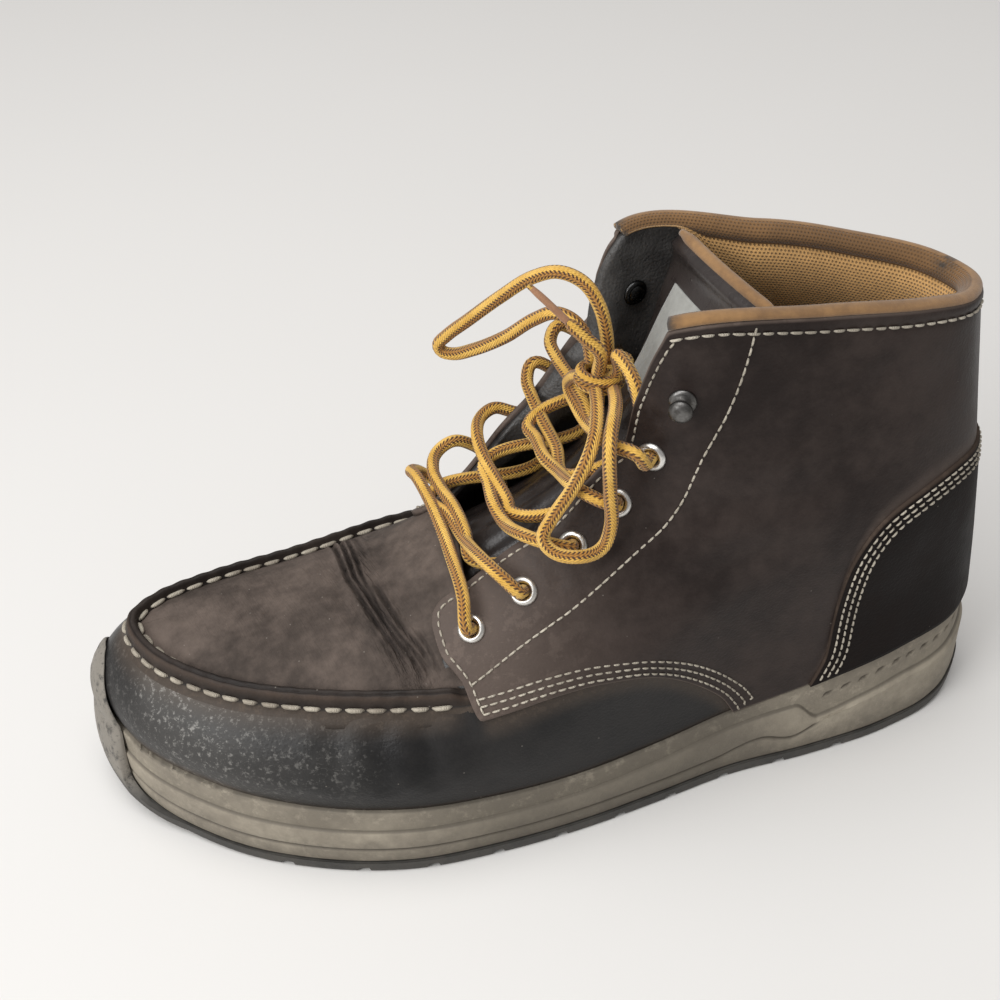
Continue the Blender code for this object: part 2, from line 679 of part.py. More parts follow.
def side_view(edge, side):
    """Points of an edge drawn on the upper, seen from the side."""
    return wall(edge[:, 0] * side, edge[:, 1])[:, [0, 2]]


def orient(made, outward_point):
    """Turn an open surface so that its normals face a side, given a point outside it."""
    mesh = made.data
    target = Vector(to_row([outward_point])[0])
    score = 0.0
    for face in mesh.polygons:
        score += face.normal.dot(target - face.center) * face.area
    if score < 0:
        mesh.flip_normals()


def edge_curve(rows, columns, names, per_span):
    """A drawn edge on the upper read smoothly between its table rows."""
    order = np.arange(len(rows))
    read = np.linspace(0, len(rows) - 1, (len(rows) - 1) * per_span + 1)
    parts = []
    for name in names:
        parts.append(smooth(order, column(columns, rows, name))(read))
    return np.stack(parts, -1)


def keep_inside(made, tool):
    """Keep only the part of a solid inside another."""
    mod = made.modifiers.new("keep", "BOOLEAN")
    mod.operation = "INTERSECT"
    mod.solver = "EXACT"
    mod.object = tool
    return made


def quarter_outline(side):
    """Side view of a quarter: tab, vamp edge, rim, counter edge, back, collar and throat."""
    low = edge_curve(QUARTER_LOW, EDGE_COLUMNS, EDGE_COLUMNS, 3)
    tab = edge_curve(TAB_TOP, EDGE_COLUMNS, EDGE_COLUMNS, 3)
    heel = side_view(edge_curve(COUNTER, EDGE_COLUMNS, EDGE_COLUMNS, 3), 1)
    along = np.gradient(heel, axis=0)
    ahead = np.stack([along[:, 1], -along[:, 0]], -1)
    ahead /= np.linalg.norm(ahead, axis=1)[:, None]
    heel = heel + ahead * COUNTER_SEAM
    below = np.array([[side_view(low, side)[-1, 0] - 1.0, 15.0], [heel[0, 0] + 1.0, 15.0]])
    throat = np.array([8.0, 7.4, 6.6, 5.8, 5.25])
    front = side_view(np.stack([throat, THROAT(throat)], -1), side) + np.array([6.0, 4.0])
    around = np.array([[-40.0, heel[-1, 1]], [-40.0, 230.0], [130.0, 230.0]])
    return np.concatenate([side_view(low, side), below, heel, around, front, side_view(tab, side)])


def build_quarters(finish, group, holes, tools):
    """The two quarters with their eyestays, cut from a sheet over the upper."""
    sheet = [s for s in UPPER_STATIONS if 4.0 <= s < HEEL] + [HEEL - 0.012]
    for name, side in (("quarter_lateral", 1), ("quarter_medial", -1)):
        points, faces = half_grid(np.array(sheet) * side, GAP)
        made = solid(name, points, faces, finish, group)
        orient(made, (100.0, side * 400.0, 120.0))
        shell(made, QUARTER_THICK, outward=True)
        tool = side_prism(name + "_outline", quarter_outline(side), side * -8.0, side * 120.0, finish, tools)
        keep_inside(made, tool)
        cut(made, holes)


def build_counter(finish, group, tools):
    """Heel counter round the back, standing higher than the quarters."""
    points, faces = both_halves([s for s in UPPER_STATIONS if s >= 8.4], GAP)
    made = solid("heel_counter", points, faces, finish, group)
    orient(made, (-400.0, 0.0, 80.0))
    shell(made, COUNTER_THICK, outward=True)
    edge = side_view(edge_curve(COUNTER, EDGE_COLUMNS, EDGE_COLUMNS, 3), 1)
    around = np.array([[-40.0, edge[-1, 1]], [-40.0, 15.0], [edge[0, 0], 15.0]])
    tool = side_prism("counter_outline", np.concatenate([edge, around]), -90.0, 90.0, finish, tools)
    return keep_inside(made, tool)


def build_seam(finish, group):
    """Raised moc seam round the apron."""
    stations = np.linspace(-4.62, 4.62, 33)
    sections = []
    for station in stations:
        length = float(column_length(np.array([station]))[0])
        seat = float(seam_height(np.array([station]))[0])
        spread = np.array([-1.8, 1.0, 3.8])
        height = seat + spread / length
        base = skin(np.full(3, station), height, np.full(3, GAP))
        normal = wall_normal(np.array([station]), np.array([seat]))[0]
        up = normal + np.array([0, 0, 0.7])
        up /= np.linalg.norm(up)
        lift = np.array([0.85, 1.0, 0.85]) * SEAM_HEIGHT
        crest = base + up * lift[:, None]
        crest[0] += (base[1] - base[0]) * 0.2
        sections.append(np.concatenate([base, crest[::-1]]))
    return swept_solid("moc_seam", sections, finish, group)


def build_collar(finish, group):
    """Padded collar rolled over the top line from one throat corner round to the other."""
    half = np.array([s for s in UPPER_STATIONS if s > 8.0])
    stations = np.concatenate([half, STATIONS - half[-2::-1]])
    below = column(COLLAR_COLUMNS, COLLAR, "below")
    out = column(COLLAR_COLUMNS, COLLAR, "out")
    pad = column(COLLAR_COLUMNS, COLLAR, "pad")
    fullness = smooth((8.0, 8.4, 9.0, 12.0), (0.0, 0.1, 1.0, 1.0))
    depth = smooth((8.0, 8.35, 8.9, 12.0), (0.33, 0.38, 1.0, 1.0))
    roll = 4.0
    sections = []
    for station in stations:
        length = float(column_length(np.array([station]))[0])
        reach = roll + (below - roll) * float(depth(fold(station)))
        level = np.where(below > roll, reach, below)
        height = 1 - np.maximum(level, 0) / length
        offset = out + pad * float(fullness(fold(station)))
        points = skin(np.full(len(below), station), height, offset)
        points[:, 2] += np.maximum(-below, 0)
        sections.append(points)
    return swept_solid("collar", sections, finish, group)


def build_tongue(finish, group):
    """Tongue as a bowed sheet from under the apron to its free top edge."""
    order = np.arange(len(TONGUE))
    read = np.linspace(0, len(TONGUE) - 1, 14)
    x, z, half, bow, skew = (smooth(order, column(TONGUE_COLUMNS, TONGUE, name))(read) for name in TONGUE_COLUMNS)
    along = np.stack([np.gradient(x), np.gradient(z)], -1)
    along /= np.linalg.norm(along, axis=1)[:, None]
    across = np.linspace(-1, 1, 9)
    points = []
    for k in range(len(read)):
        inward = np.array([-along[k, 1], along[k, 0]])
        for s in across:
            drop = bow[k] * s * s
            y = half[k] * s
            points.append((x[k] + skew[k] * y + inward[0] * drop, y, z[k] + inward[1] * drop))
    made = solid("tongue", points, grid_faces(len(read), len(across)), finish, group)
    orient(made, (400.0, 0.0, 300.0))
    return shell(made, TONGUE_THICK, outward=False)


def turned(name, profile, segments, seat, axis, finish, group):
    """Closed turned piece: profile of radius and height about an axis from a seat point."""
    axis = Vector(axis).normalized()
    frame = axis.to_track_quat("Z", "Y").to_matrix()
    points = []
    for radius, rise in profile:
        for k in range(segments):
            angle = 2 * math.pi * (k + 0.5) / segments
            local = Vector((radius * math.cos(angle), radius * math.sin(angle), rise))
            points.append(Vector(seat) + frame @ local)
    faces = grid_faces(len(profile), segments, closed=True)
    if profile[0][0] > 0 and profile[0] != profile[-1]:
        faces.append(tuple(range(segments)))
        faces.append(tuple(range((len(profile) - 1) * segments, len(profile) * segments)))
    return solid(name, np.array([tuple(p) for p in points]), faces, finish, group)


def seats(table):
    """Seat points and normals of holes on both sides, named."""
    found = []
    for side, sign in (("lateral", 1), ("medial", -1)):
        for number, (station, height) in enumerate(table, 1):
            place = np.array([station * sign])
            level = np.array([height])
            found.append((side, number, wall(place, level)[0], wall_normal(place, level)[0]))
    return found


def build_holes(group, finish):
    """Cutter for the eyelet and stud holes."""
    points = []
    faces = []
    pieces = [(seat, axis, HOLE_RADIUS) for _, _, seat, axis in seats(EYELETS)]
    pieces += [(seat, axis, STUD_HOLE) for _, _, seat, axis in seats((STUD,))]
    segments = 10
    for seat, axis, radius in pieces:
        frame = Vector(axis).to_track_quat("Z", "Y").to_matrix()
        start = len(points)
        for rise in (-7.0, 7.0):
            for k in range(segments):
                angle = 2 * math.pi * k / segments
                local = Vector((radius * math.cos(angle), radius * math.sin(angle), rise))
                points.append(tuple(Vector(seat) + frame @ local))
        faces += grid_faces(2, segments, start, closed=True)
        faces.append(tuple(range(start, start + segments)))
        faces.append(tuple(range(start + segments, start + 2 * segments)))
    return as_cutter(solid("lace_holes", points, faces, finish, group))


def build_eyelets(finish, group):
    """Ten eyelets through quarter and upper."""
    face = GAP + QUARTER_THICK + TRIM_LIFT
    profile = (
        (EYELET_FLANGE, face + 0.15), (EYELET_BARREL + 0.3, face + EYELET_RISE), (EYELET_BORE, 0.2 - WALL),
        (EYELET_BARREL, -WALL), (EYELET_BARREL, face), (EYELET_FLANGE, face + 0.15),
    )
    for side, number, seat, axis in seats(EYELETS):
        turned(f"eyelet_{side}_{number}", profile, 9, seat, axis, finish, group)


def build_studs(finish, group):
    """Lace stud a side, riveted through the wall."""
    face = GAP + QUARTER_THICK + TRIM_LIFT
    back = -(WALL + TRIM_LIFT)
    profile = (
        (0.0, back - 1.4), (3.0, back - 1.2), (3.6, back), (STUD_SHANK, back), (STUD_SHANK, face), (3.8, face),
        (3.4, face + 1.0), (1.7, face + 1.2), (1.7, face + 3.8), (4.3, face + 4.4), (3.6, face + 6.0),
        (0.0, face + 6.9),
    )
    for side, _, seat, axis in seats((STUD,)):
        turned(f"hook_{side}", profile, 9, seat, axis, finish, group)


def smooth_path(route, spacing):
    """Points at about even spacing along a smooth curve through a route."""
    route = np.array(route, float)
    step = np.linalg.norm(np.diff(route, axis=0), axis=1)
    slope = np.diff(route, axis=0) / step[:, None]
    tangent = np.concatenate([slope[:1], slope[:-1] + slope[1:], slope[-1:]])
    tangent /= np.linalg.norm(tangent, axis=1)[:, None]
    fine = []
    for k, span in enumerate(step):
        s = np.linspace(0, 1, 20, endpoint=False)[:, None]
        start = (1 + 2 * s) * (1 - s) ** 2 * route[k] + s * (1 - s) ** 2 * span * tangent[k]
        end = s * s * (3 - 2 * s) * route[k + 1] + s * s * (s - 1) * span * tangent[k + 1]
        fine.append(start + end)
    fine = np.concatenate(fine + [route[-1:]])
    along = np.concatenate([[0], np.cumsum(np.linalg.norm(np.diff(fine, axis=0), axis=1))])
    read = np.linspace(0, along[-1], max(4, round(along[-1] / spacing) + 1))
    return np.stack([np.interp(read, along, fine[:, axis]) for axis in range(3)], -1)


def cord(name, route, diameter, spacing, finish, group):
    """Round cord along a smooth curve through a route."""
    curve = bpy.data.curves.new(name, "CURVE")
    curve.dimensions = "3D"
    curve.bevel_depth = diameter / 2 * MM
    curve.bevel_resolution = 2
    curve.use_fill_caps = True
    line = to_row(smooth_path(route, spacing))
    spline = curve.splines.new("POLY")
    spline.points.add(len(line) - 1)
    for point, place in zip(spline.points, line):
        point.co = (*place, 1.0)
    curve.materials.append(finish)
    made = bpy.data.objects.new(name, curve)
    group.objects.link(made)
    return made


def cord_mesh(name, route, finish, group):
    """Lace strand as a mesh with its caps closed, to be joined with others."""
    guide = cord(name + "_guide", route, LACE, LACE_STEP, finish, group)
    graph = bpy.context.evaluated_depsgraph_get()
    mesh = bpy.data.meshes.new_from_object(guide.evaluated_get(graph))
    mesh.name = name
    made = bpy.data.objects.new(name, mesh)
    made.matrix_world = guide.matrix_world
    bpy.data.objects.remove(guide, do_unlink=True)
    work = bmesh.new()
    work.from_mesh(mesh)
    bmesh.ops.remove_doubles(work, verts=work.verts, dist=0.00002)
    bmesh.ops.recalc_face_normals(work, faces=work.faces)
    work.to_mesh(mesh)
    work.free()
    group.objects.link(made)
    return made


def join(made, tool):
    """Join another solid to one."""
    mod = made.modifiers.new("join", "BOOLEAN")
    mod.operation = "UNION"
    mod.solver = "EXACT"
    mod.object = as_cutter(tool)
    return made


def build_laces(finish, group, tools):
    """Strands across the throat, joined where they cross, and the bow tied from them."""
    crest = GAP + QUARTER_THICK + TRIM_LIFT + EYELET_RISE
    above = {}
    for side, number, seat, axis in seats(EYELETS):
        above[(side, number)] = seat + axis * (crest + 0.75 * LACE)
    for number, strands in enumerate(LACE_CROSSINGS, 1):
        crossing = None
        for k, (leaves, points, reaches) in enumerate(strands):
            route = [above[leaves], *points]
            if reaches:
                route.append(above[reaches])
            if crossing:
                join(crossing, cord_mesh(f"lace_strand_{number}_{k}", route, finish, tools))
            else:
                crossing = cord_mesh(f"lace_crossing_{number}", route, finish, group)
    cord("lace_knot", LACE_KNOT, KNOT, LACE, finish, group)
    for name, route in LACE_BOW:
        cord(name, route, LACE, LACE_STEP, finish, group)


def main():
    """Build every piece."""
    clear_scene()
    parts = new_collection(NAME)
    tools = new_collection("cutters")
    rubber = material("outsole_rubber", (0.03, 0.03, 0.032), 0.7)
    foam = material("midsole_foam", (0.22, 0.19, 0.16), 0.75)
    vamp = material("upper_leather", (0.05, 0.035, 0.028), 0.45)
    quarter = material("quarter_leather", (0.06, 0.04, 0.032), 0.45)
    counter = material("counter_leather", (0.04, 0.03, 0.026), 0.45)
    seam = material("seam_leather", (0.045, 0.034, 0.03), 0.5)
    lining = material("collar_fabric", (0.42, 0.24, 0.08), 0.9)
    inner = material("insole_fabric", (0.12, 0.1, 0.09), 0.9)
    flap = material("tongue_leather", (0.04, 0.03, 0.027), 0.5)
    silver = material("eyelet_metal", (0.8, 0.8, 0.78), 0.3, 1.0)
    pewter = material("stud_metal", (0.35, 0.35, 0.36), 0.35, 1.0)
    lace = material("lace_cord", (0.55, 0.33, 0.06), 0.8)
    holes = build_holes(tools, silver)
    build_outsole(rubber, parts, tools)
    build_midsole(foam, parts)
    build_insole(inner, parts)
    build_upper(vamp, parts, holes)
    build_seam(seam, parts)
    build_quarters(quarter, parts, holes, tools)
    build_counter(counter, parts, tools)
    build_collar(lining, parts)
    build_tongue(flap, parts)
    build_eyelets(silver, parts)
    build_studs(pewter, parts)
    build_laces(lace, parts, tools)


main()
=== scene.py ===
"""Looks of a left lace-up work boot with a moc toe on a wedge sole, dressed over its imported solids.

The classes work in boot millimetres: heel near 0, +X to the toe, +Y to the outer side, +Z up from the floor. Stations
run round the rim of the sole: 0 at the toe, 1 to 11 down the outer side, 12 at the heel, and negative for the same
places on the inner side. Height runs from 0 at the sole to 1 at the apron's middle, the instep or the top line.
"""

import logging
import math
from dataclasses import dataclass, field
from enum import Enum
from typing import Callable, Sequence

import bmesh
import bpy
import numpy as np
from mathutils import Matrix, Vector


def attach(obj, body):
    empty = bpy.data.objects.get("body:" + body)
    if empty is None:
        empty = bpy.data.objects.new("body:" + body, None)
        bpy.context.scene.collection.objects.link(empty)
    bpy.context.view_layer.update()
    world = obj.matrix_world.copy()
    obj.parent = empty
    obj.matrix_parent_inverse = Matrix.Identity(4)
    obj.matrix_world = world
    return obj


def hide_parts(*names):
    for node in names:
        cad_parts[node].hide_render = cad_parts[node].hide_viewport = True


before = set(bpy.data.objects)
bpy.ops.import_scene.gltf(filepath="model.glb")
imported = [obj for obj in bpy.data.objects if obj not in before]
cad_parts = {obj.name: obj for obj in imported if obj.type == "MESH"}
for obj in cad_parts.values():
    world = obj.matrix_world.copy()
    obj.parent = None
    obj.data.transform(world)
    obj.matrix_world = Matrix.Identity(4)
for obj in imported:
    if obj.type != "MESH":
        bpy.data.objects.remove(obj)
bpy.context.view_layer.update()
LOG = logging.getLogger("boot")

Array = np.ndarray
Colour = tuple[float, float, float]
Table = Sequence[Sequence[float]]
Faces = list[tuple[int, ...]]
Piece = bpy.types.Object
Socket = bpy.types.NodeSocket
Value = Socket | float | Sequence[float]

MM = 0.001
BODY = "root"
# Middle of the boot's footprint, the origin of the row frame
ORIGIN = np.array([152, 2.4676, 0])
GAP = 0.3
WALL = 2.4
# Inner face of the vamp and apron, from their outer face
INNER_FACE = 0.4 - WALL
STATIONS = 24

# One row for each section from toe to heel. Rim is the top edge of the midsole, seam the moc seam in front and the
# fullest part of the ankle behind, top the middle of the apron, the instep ridge and the collar.
SECTION_COLUMNS = (
    "rim_x", "rim_out", "rim_in", "seam_x", "seam_out", "seam_in", "seam_z",
    "top_x", "top_out", "top_in", "top_z", "top_in_drop", "crown", "swell",
)
SECTIONS = (
    (304, -12, -12, 288.5, -10, -10, 62, 272, -8, -8, 67, 0, 1, -0.5),
    (292, 15, -34, 280, 8, -21, 62, 264, -7, -7, 69, 0, 2, 0.5),
    (268, 35.5, -45, 260, 24.5, -28.5, 62, 248, -5, -5, 71.5, 0, 3, 1.5),
    (236, 50.5, -51.5, 232, 36.8, -34, 62.5, 226, -3, -3, 75, 0, 4, 1.5),
    (205, 57, -51.5, 203, 44, -41, 63, 201, -1, -1, 82, 0, 5, 1),
    (176, 56, -47, 178, 47.5, -42, 65, 176, 0, 0, 97, 0, 9, 0.5),
    (147, 52, -41, 148, 47.5, -40.5, 74, 154, 0, 0, 125, 0, 12, -0.5),
    (120, 46, -37, 119, 44.5, -38.5, 86, 143, 0, 0, 152, 0, 12, -1),
    (93, 39.5, -35, 95, 41, -38, 97, 118, 30, -30, 183, 3, 0, -1),
    (62, 36, -34.5, 63, 38, -37, 103, 72, 29.5, -28.5, 180.5, 3.5, 0, -1),
    (32, 30, -30, 34, 31.5, -31.5, 105, 40, 24.5, -24.5, 175, 5, 0, -2),
    (8, 19, -19, 13, 18, -18, 106, 21, 14.5, -14.5, 169.5, 2.5, 0, -2.5),
    (-3, 0, 0, 6, 0, 0, 107, 14, 0, 0, 166.5, 0, 0, -3),
)
RIM_PROFILE = (
    (-3, 44), (8, 42.5), (27, 40.5), (47, 38), (65, 34.5), (93, 29.5), (120, 26.5), (150, 25), (180, 25.5),
    (207, 27), (236, 28.2), (268, 30.2), (292, 32.5), (304, 34),
)
UNDERSIDE = ((-8, 7), (0, 4.5), (10, 1.6), (22, 0), (252, 0), (270, 0.8), (285, 2.5), (295, 5), (304, 8.5), (312, 12))
# Edges drawn on the upper by station and height
THROAT = (
    (4.545, 0.685), (4.57, 0.72), (4.7, 0.75), (5, 0.763), (5.5, 0.78), (6.07, 0.769), (6.6, 0.769), (7.17, 0.782),
    (7.6, 0.87), (7.95, 0.962), (8.05, 0.984), (12, 0.986),
)
QUARTER_LOW = (
    (4.545, 0.66), (4.6, 0.58), (4.83, 0.47), (4.985, 0.335), (5.54, 0.335), (6.03, 0.325), (6.54, 0.285),
    (7.11, 0.215), (7.54, 0.135), (7.88, 0.055), (8.03, 0),
)
COUNTER = (
    (8.9, 0), (9.06, 0.1), (9.09, 0.24), (9.15, 0.345), (9.34, 0.44), (9.64, 0.5), (10.15, 0.54),
    (10.84, 0.562), (12, 0.548),
)
EYELETS = ((5.02, 0.62), (5.63, 0.65), (6.25, 0.68), (6.89, 0.69), (7.52, 0.75))
STUD = (7.98, 0.84)
# Radius of the holes for them
EYELET_HOLE = 3.1
STUD_HOLE = 1.9


class Slot(Enum):
    """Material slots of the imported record."""

    OUTSOLE = "outsole_rubber"
    MIDSOLE = "midsole_foam"
    UPPER = "upper_leather"
    SEAM = "seam_leather"
    QUARTER = "quarter_leather"
    COUNTER = "counter_leather"
    COLLAR = "collar_fabric"
    TONGUE = "tongue_leather"
    EYELET = "eyelet_metal"
    STUD = "stud_metal"
    LACE = "lace_cord"


class Side(Enum):
    """Sides of the boot, with the sign of their stations."""

    LATERAL = 1
    MEDIAL = -1

    @property
    def word(self) -> str:
        """Name used in node names."""
        return self.name.lower()


def hermite(s: Array, step: Array, first: Array, second: Array, leaving: Array, reaching: Array) -> Array:
    """Read a cubic between two points.

    Args:
        s: Share of the way between them.
        step: Distance between them.
        first: First point.
        second: Second point.
        leaving: Slope at the first.
        reaching: Slope at the second.

    Returns:
        Points of the cubic.
    """
    start = (1 + 2 * s) * (1 - s) ** 2 * first + s * (1 - s) ** 2 * step * leaving
    end = s * s * (3 - 2 * s) * second + s * s * (s - 1) * step * reaching
    return start + end


def smooth(table: Table) -> Callable[[Array], Array]:
    """Make a monotone cubic through table points.

    Args:
        table: Rows of place and value, in rising order of place.

    Returns:
        Function that reads the curve, held at its end values.
    """
    xs, ys = np.array(table, float).T
    step = np.diff(xs)
    slope = np.diff(ys) / step
    same = slope[:-1] * slope[1:] > 0
    total = np.where(same, slope[:-1] + slope[1:], 1)
    tangent = np.r_[slope[:1], np.where(same, 2 * slope[:-1] * slope[1:] / total, 0), slope[-1:]]

    def value(x: Array) -> Array:
        """Read the curve.

        Args:
            x: Places.

        Returns:
            Value at each place.
        """
        x = np.clip(np.asarray(x, float), xs[0], xs[-1])
        i = np.clip(np.searchsorted(xs, x) - 1, 0, len(step) - 1)
        return hermite((x - xs[i]) / step[i], step[i], ys[i], ys[i + 1], tangent[i], tangent[i + 1])

    return value


def ease(x: Array, low: float, high: float) -> Array:
    """Soft step from 0 at low to 1 at high."""
    s = np.clip((np.asarray(x, float) - low) / (high - low), 0, 1)
    return s * s * (3 - 2 * s)


def unit(vectors: Array) -> Array:
    """Vectors at length 1."""
    return vectors / np.maximum(np.linalg.norm(vectors, axis=-1, keepdims=True), 1e-9)


def to_row(points: Array) -> Array:
    """Boot millimetres to row-frame metres."""
    return (np.asarray(points, float).reshape(-1, 3) - ORIGIN) * MM


def smooth_path(route: Table, spacing: float) -> Array:
    """Read a smooth curve through route points.

    Args:
        route: Points the curve passes.
        spacing: Distance between the points that come back.

    Returns:
        Points at about even spacing along the curve.
    """
    route = np.array(route, float)
    step = np.linalg.norm(np.diff(route, axis=0), axis=1)
    slope = np.diff(route, axis=0) / step[:, None]
    tangent = unit(np.r_[slope[:1], slope[:-1] + slope[1:], slope[-1:]])
    s = np.linspace(0, 1, 20, endpoint=False)[:, None]
    fine = [hermite(s, step[k], *route[k : k + 2], *tangent[k : k + 2]) for k in range(len(step))]
    return even(np.concatenate(fine + [route[-1:]]), spacing)


def distances(line: Array) -> Array:
    """Distance along a line to each of its points."""
    return np.r_[0, np.cumsum(np.linalg.norm(np.diff(line, axis=0), axis=1))]


def reread(read: Array, along: Array, rows: Array) -> Array:
    """Rows that belong to places along a line, read at other places."""
    return np.stack([np.interp(read, along, column) for column in rows.T], -1)


def even(line: Array, spacing: float) -> Array:
    """Read a line at even spacing.

    Args:
        line: Rows of coordinates.
        spacing: Distance between the rows that come back.

    Returns:
        Rows along the line.
    """
    along = distances(line)
    read = np.linspace(0, along[-1], max(4, round(along[-1] / spacing) + 1))
    return reread(read, along, line)


@dataclass
class Last:
    """Outer surface of the boot, read by station and height."""

    feather_inset: float = 1.0
    swell_share: float = 0.36
    swell_limit: float = 22.0
    stand_gap: float = 0.045
    # How the inner side's eyestay stands up above its eyelets: direction in millimetres, and share by station
    STAND = (0, -6, 8.5)
    STANDING = ((4.75, 0), (5.3, 0.35), (5.8, 0.85), (6.3, 1.15), (7, 1.6), (7.45, 1.45), (8, 0))

    def __post_init__(self) -> None:
        """Work out the rings of control points."""
        self.stand_share = smooth(self.STANDING)
        self.stand_low = smooth(((4.5, 0.6), *EYELETS, (8, 0.84)))
        self.rim_height = smooth(RIM_PROFILE)
        self.ground = smooth(UNDERSIDE)
        self.throat = smooth(THROAT)
        self.rim = self.ring("rim", self.rim_height(self.section("rim_x")))
        seam = self.ring("seam", self.section("seam_z"))
        top = self.ring("top", self.section("top_z"))
        along = np.roll(self.rim, -1, 0) - np.roll(self.rim, 1, 0)
        normal = unit(np.stack([along[:, 1], -along[:, 0], np.zeros(STATIONS)], -1))
        up = np.array([0, 0, 1])
        feather = self.rim - normal * self.feather_inset + up * GAP
        rise = np.minimum(self.swell_share * (seam[:, 2] - feather[:, 2]), self.swell_limit)
        swell = self.rim + normal * self.both("swell")[:, None] + up * rise[:, None]
        shoulder = (seam + top) / 2 + up * self.both("crown")[:, None]
        self.net = np.stack([feather, swell, seam, shoulder, top], 1)
        span = np.linalg.norm(np.roll(self.rim, -1, 0) - self.rim, axis=1)
        self.span = (span + span[::-1]) / 2

    def section(self, name: str) -> Array:
        """One column of the section table."""
        return np.array([row[SECTION_COLUMNS.index(name)] for row in SECTIONS], float)

    def both(self, name: str) -> Array:
        """One value of the section table at all stations."""
        values = self.section(name)
        return np.r_[values, values[11:0:-1]]

    def ring(self, group: str, height: Array) -> Array:
        """Read one ring: toe, outer side, heel, inner side.

        Args:
            group: Name of the ring's columns.
            height: Its heights, from toe to heel.

        Returns:
            Points at all stations.
        """
        x = self.section(group + "_x")
        drop = self.section("top_in_drop") * (group == "top")
        lateral = np.stack([x, self.section(group + "_out"), height], -1)
        medial = np.stack([x, self.section(group + "_in"), height - drop], -1)
        return np.r_[lateral, medial[11:0:-1]]

    def round(self, points: Array, station: Array) -> Array:
        """Read a ring of station points at any station.

        Args:
            points: Point, or column of points, at each station.
            station: Stations to read.

        Returns:
            Point or column at each of them.
        """
        station = np.mod(np.asarray(station, float).ravel(), STATIONS)
        i = np.floor(station).astype(int) % STATIONS
        j = (i + 1) % STATIONS
        extra = (1,) * (points.ndim - 1)
        s = (station - np.floor(station)).reshape((-1,) + extra)
        span = self.span.reshape((-1,) + extra)
        before = np.roll(span, 1, 0)
        slope = (np.roll(points, -1, 0) - points) / span
        tangent = (np.roll(slope, 1, 0) * span + slope * before) / (span + before)
        return hermite(s, span[i], points[i], points[j], tangent[i], tangent[j])

    def knots(self, rows: Array) -> tuple[Array, Array]:
        """Measure columns of control points.

        Args:
            rows: Columns, one to a row.

        Returns:
            Share of the way up each column at its points, and the columns' lengths.
        """
        length = np.linalg.norm(np.diff(rows, axis=1), axis=2)
        knots = np.concatenate([np.zeros((len(rows), 1)), np.cumsum(length, 1)], 1)
        return knots / knots[:, -1:], knots[:, -1]

    def wall(self, station: Array, height: Array) -> Array:
        """Read the outer face of the upper.

        Args:
            station: Stations.
            height: Heights that go with them.

        Returns:
            Point for each pair.
        """
        station, height = np.broadcast_arrays(np.asarray(station, float), np.asarray(height, float))
        rows = self.round(self.net, station)
        knots, _ = self.knots(rows)
        step = np.diff(knots, axis=1)[..., None]
        slope = np.diff(rows, axis=1) / step
        inner = (slope[:, :-1] * step[:, 1:] + slope[:, 1:] * step[:, :-1]) / (step[:, :-1] + step[:, 1:])
        first = 1.5 * slope[:, :1] - 0.5 * inner[:, :1]
        last = 1.5 * slope[:, -1:] - 0.5 * inner[:, -1:]
        tangent = np.concatenate([first, inner, last], 1)
        n = np.arange(len(rows))
        level = height.ravel()[:, None]
        i = np.clip((level >= knots[:, 1:-1]).sum(1), 0, rows.shape[1] - 2)
        s = (level - knots[n, i][:, None]) / step[n, i]
        points = hermite(s, step[n, i], rows[n, i], rows[n, i + 1], tangent[n, i], tangent[n, i + 1])
        return points.reshape(station.shape + (3,)) + self.standing(station, height)[..., None] * np.array(self.STAND)

    def standing(self, station: Array, height: Array) -> Array:
        """Find how far the inner side's eyestay stands up.

        Args:
            station: Stations.
            height: Heights that go with them.

        Returns:
            Share of STAND for each pair.
        """
        inner = STATIONS - np.mod(station, STATIONS)
        low = self.stand_low(inner) + self.stand_gap
        rise = np.clip((height - low) / (self.throat(inner) - low), 0, 1) ** 1.5
        first, last = self.STANDING[0][0], self.STANDING[-1][0]
        return np.where((inner > first) & (inner < last), self.stand_share(inner) * rise, 0)

    def normal(self, station: Array, height: Array) -> Array:
        """Find the upper's outward normal.

        Args:
            station: Stations.
            height: Heights that go with them.

        Returns:
            Unit vector for each pair.
        """
        step = 0.004
        across = self.wall(station + step * 4, height) - self.wall(station - step * 4, height)
        rise = self.wall(station, np.clip(height + step, 0, 1)) - self.wall(station, np.clip(height - step, 0, 1))
        return unit(np.cross(across, rise))

    def skin(self, station: Array, height: Array, offset: Array) -> Array:
        """The upper's face moved outward by an offset."""
        return self.wall(station, height) + self.normal(station, height) * np.asarray(offset, float)[..., None]

    def seam(self, station: Array) -> Array:
        """Height of the moc seam, or of the fullest part behind it."""
        knots, _ = self.knots(self.round(self.net, station))
        return knots[:, 2].reshape(np.shape(station))

    def length(self, station: Array) -> Array:
        """Length of a column from the sole to its top."""
        _, length = self.knots(self.round(self.net, station))
        return length.reshape(np.shape(station))

    def outline(self, station: Array, offset: Array | float) -> Array:
        """Move the rim of the sole outward in plan.

        Args:
            station: Stations.
            offset: Distance outward, or one for each station.

        Returns:
            Point for each station.
        """
        step = 0.02
        station = np.asarray(station, float).ravel()
        along = self.round(self.rim, station + step) - self.round(self.rim, station - step)
        normal = unit(np.stack([along[:, 1], -along[:, 0], np.zeros(len(along))], -1))
        return self.round(self.rim, station) + normal * np.broadcast_to(offset, station.shape)[:, None]

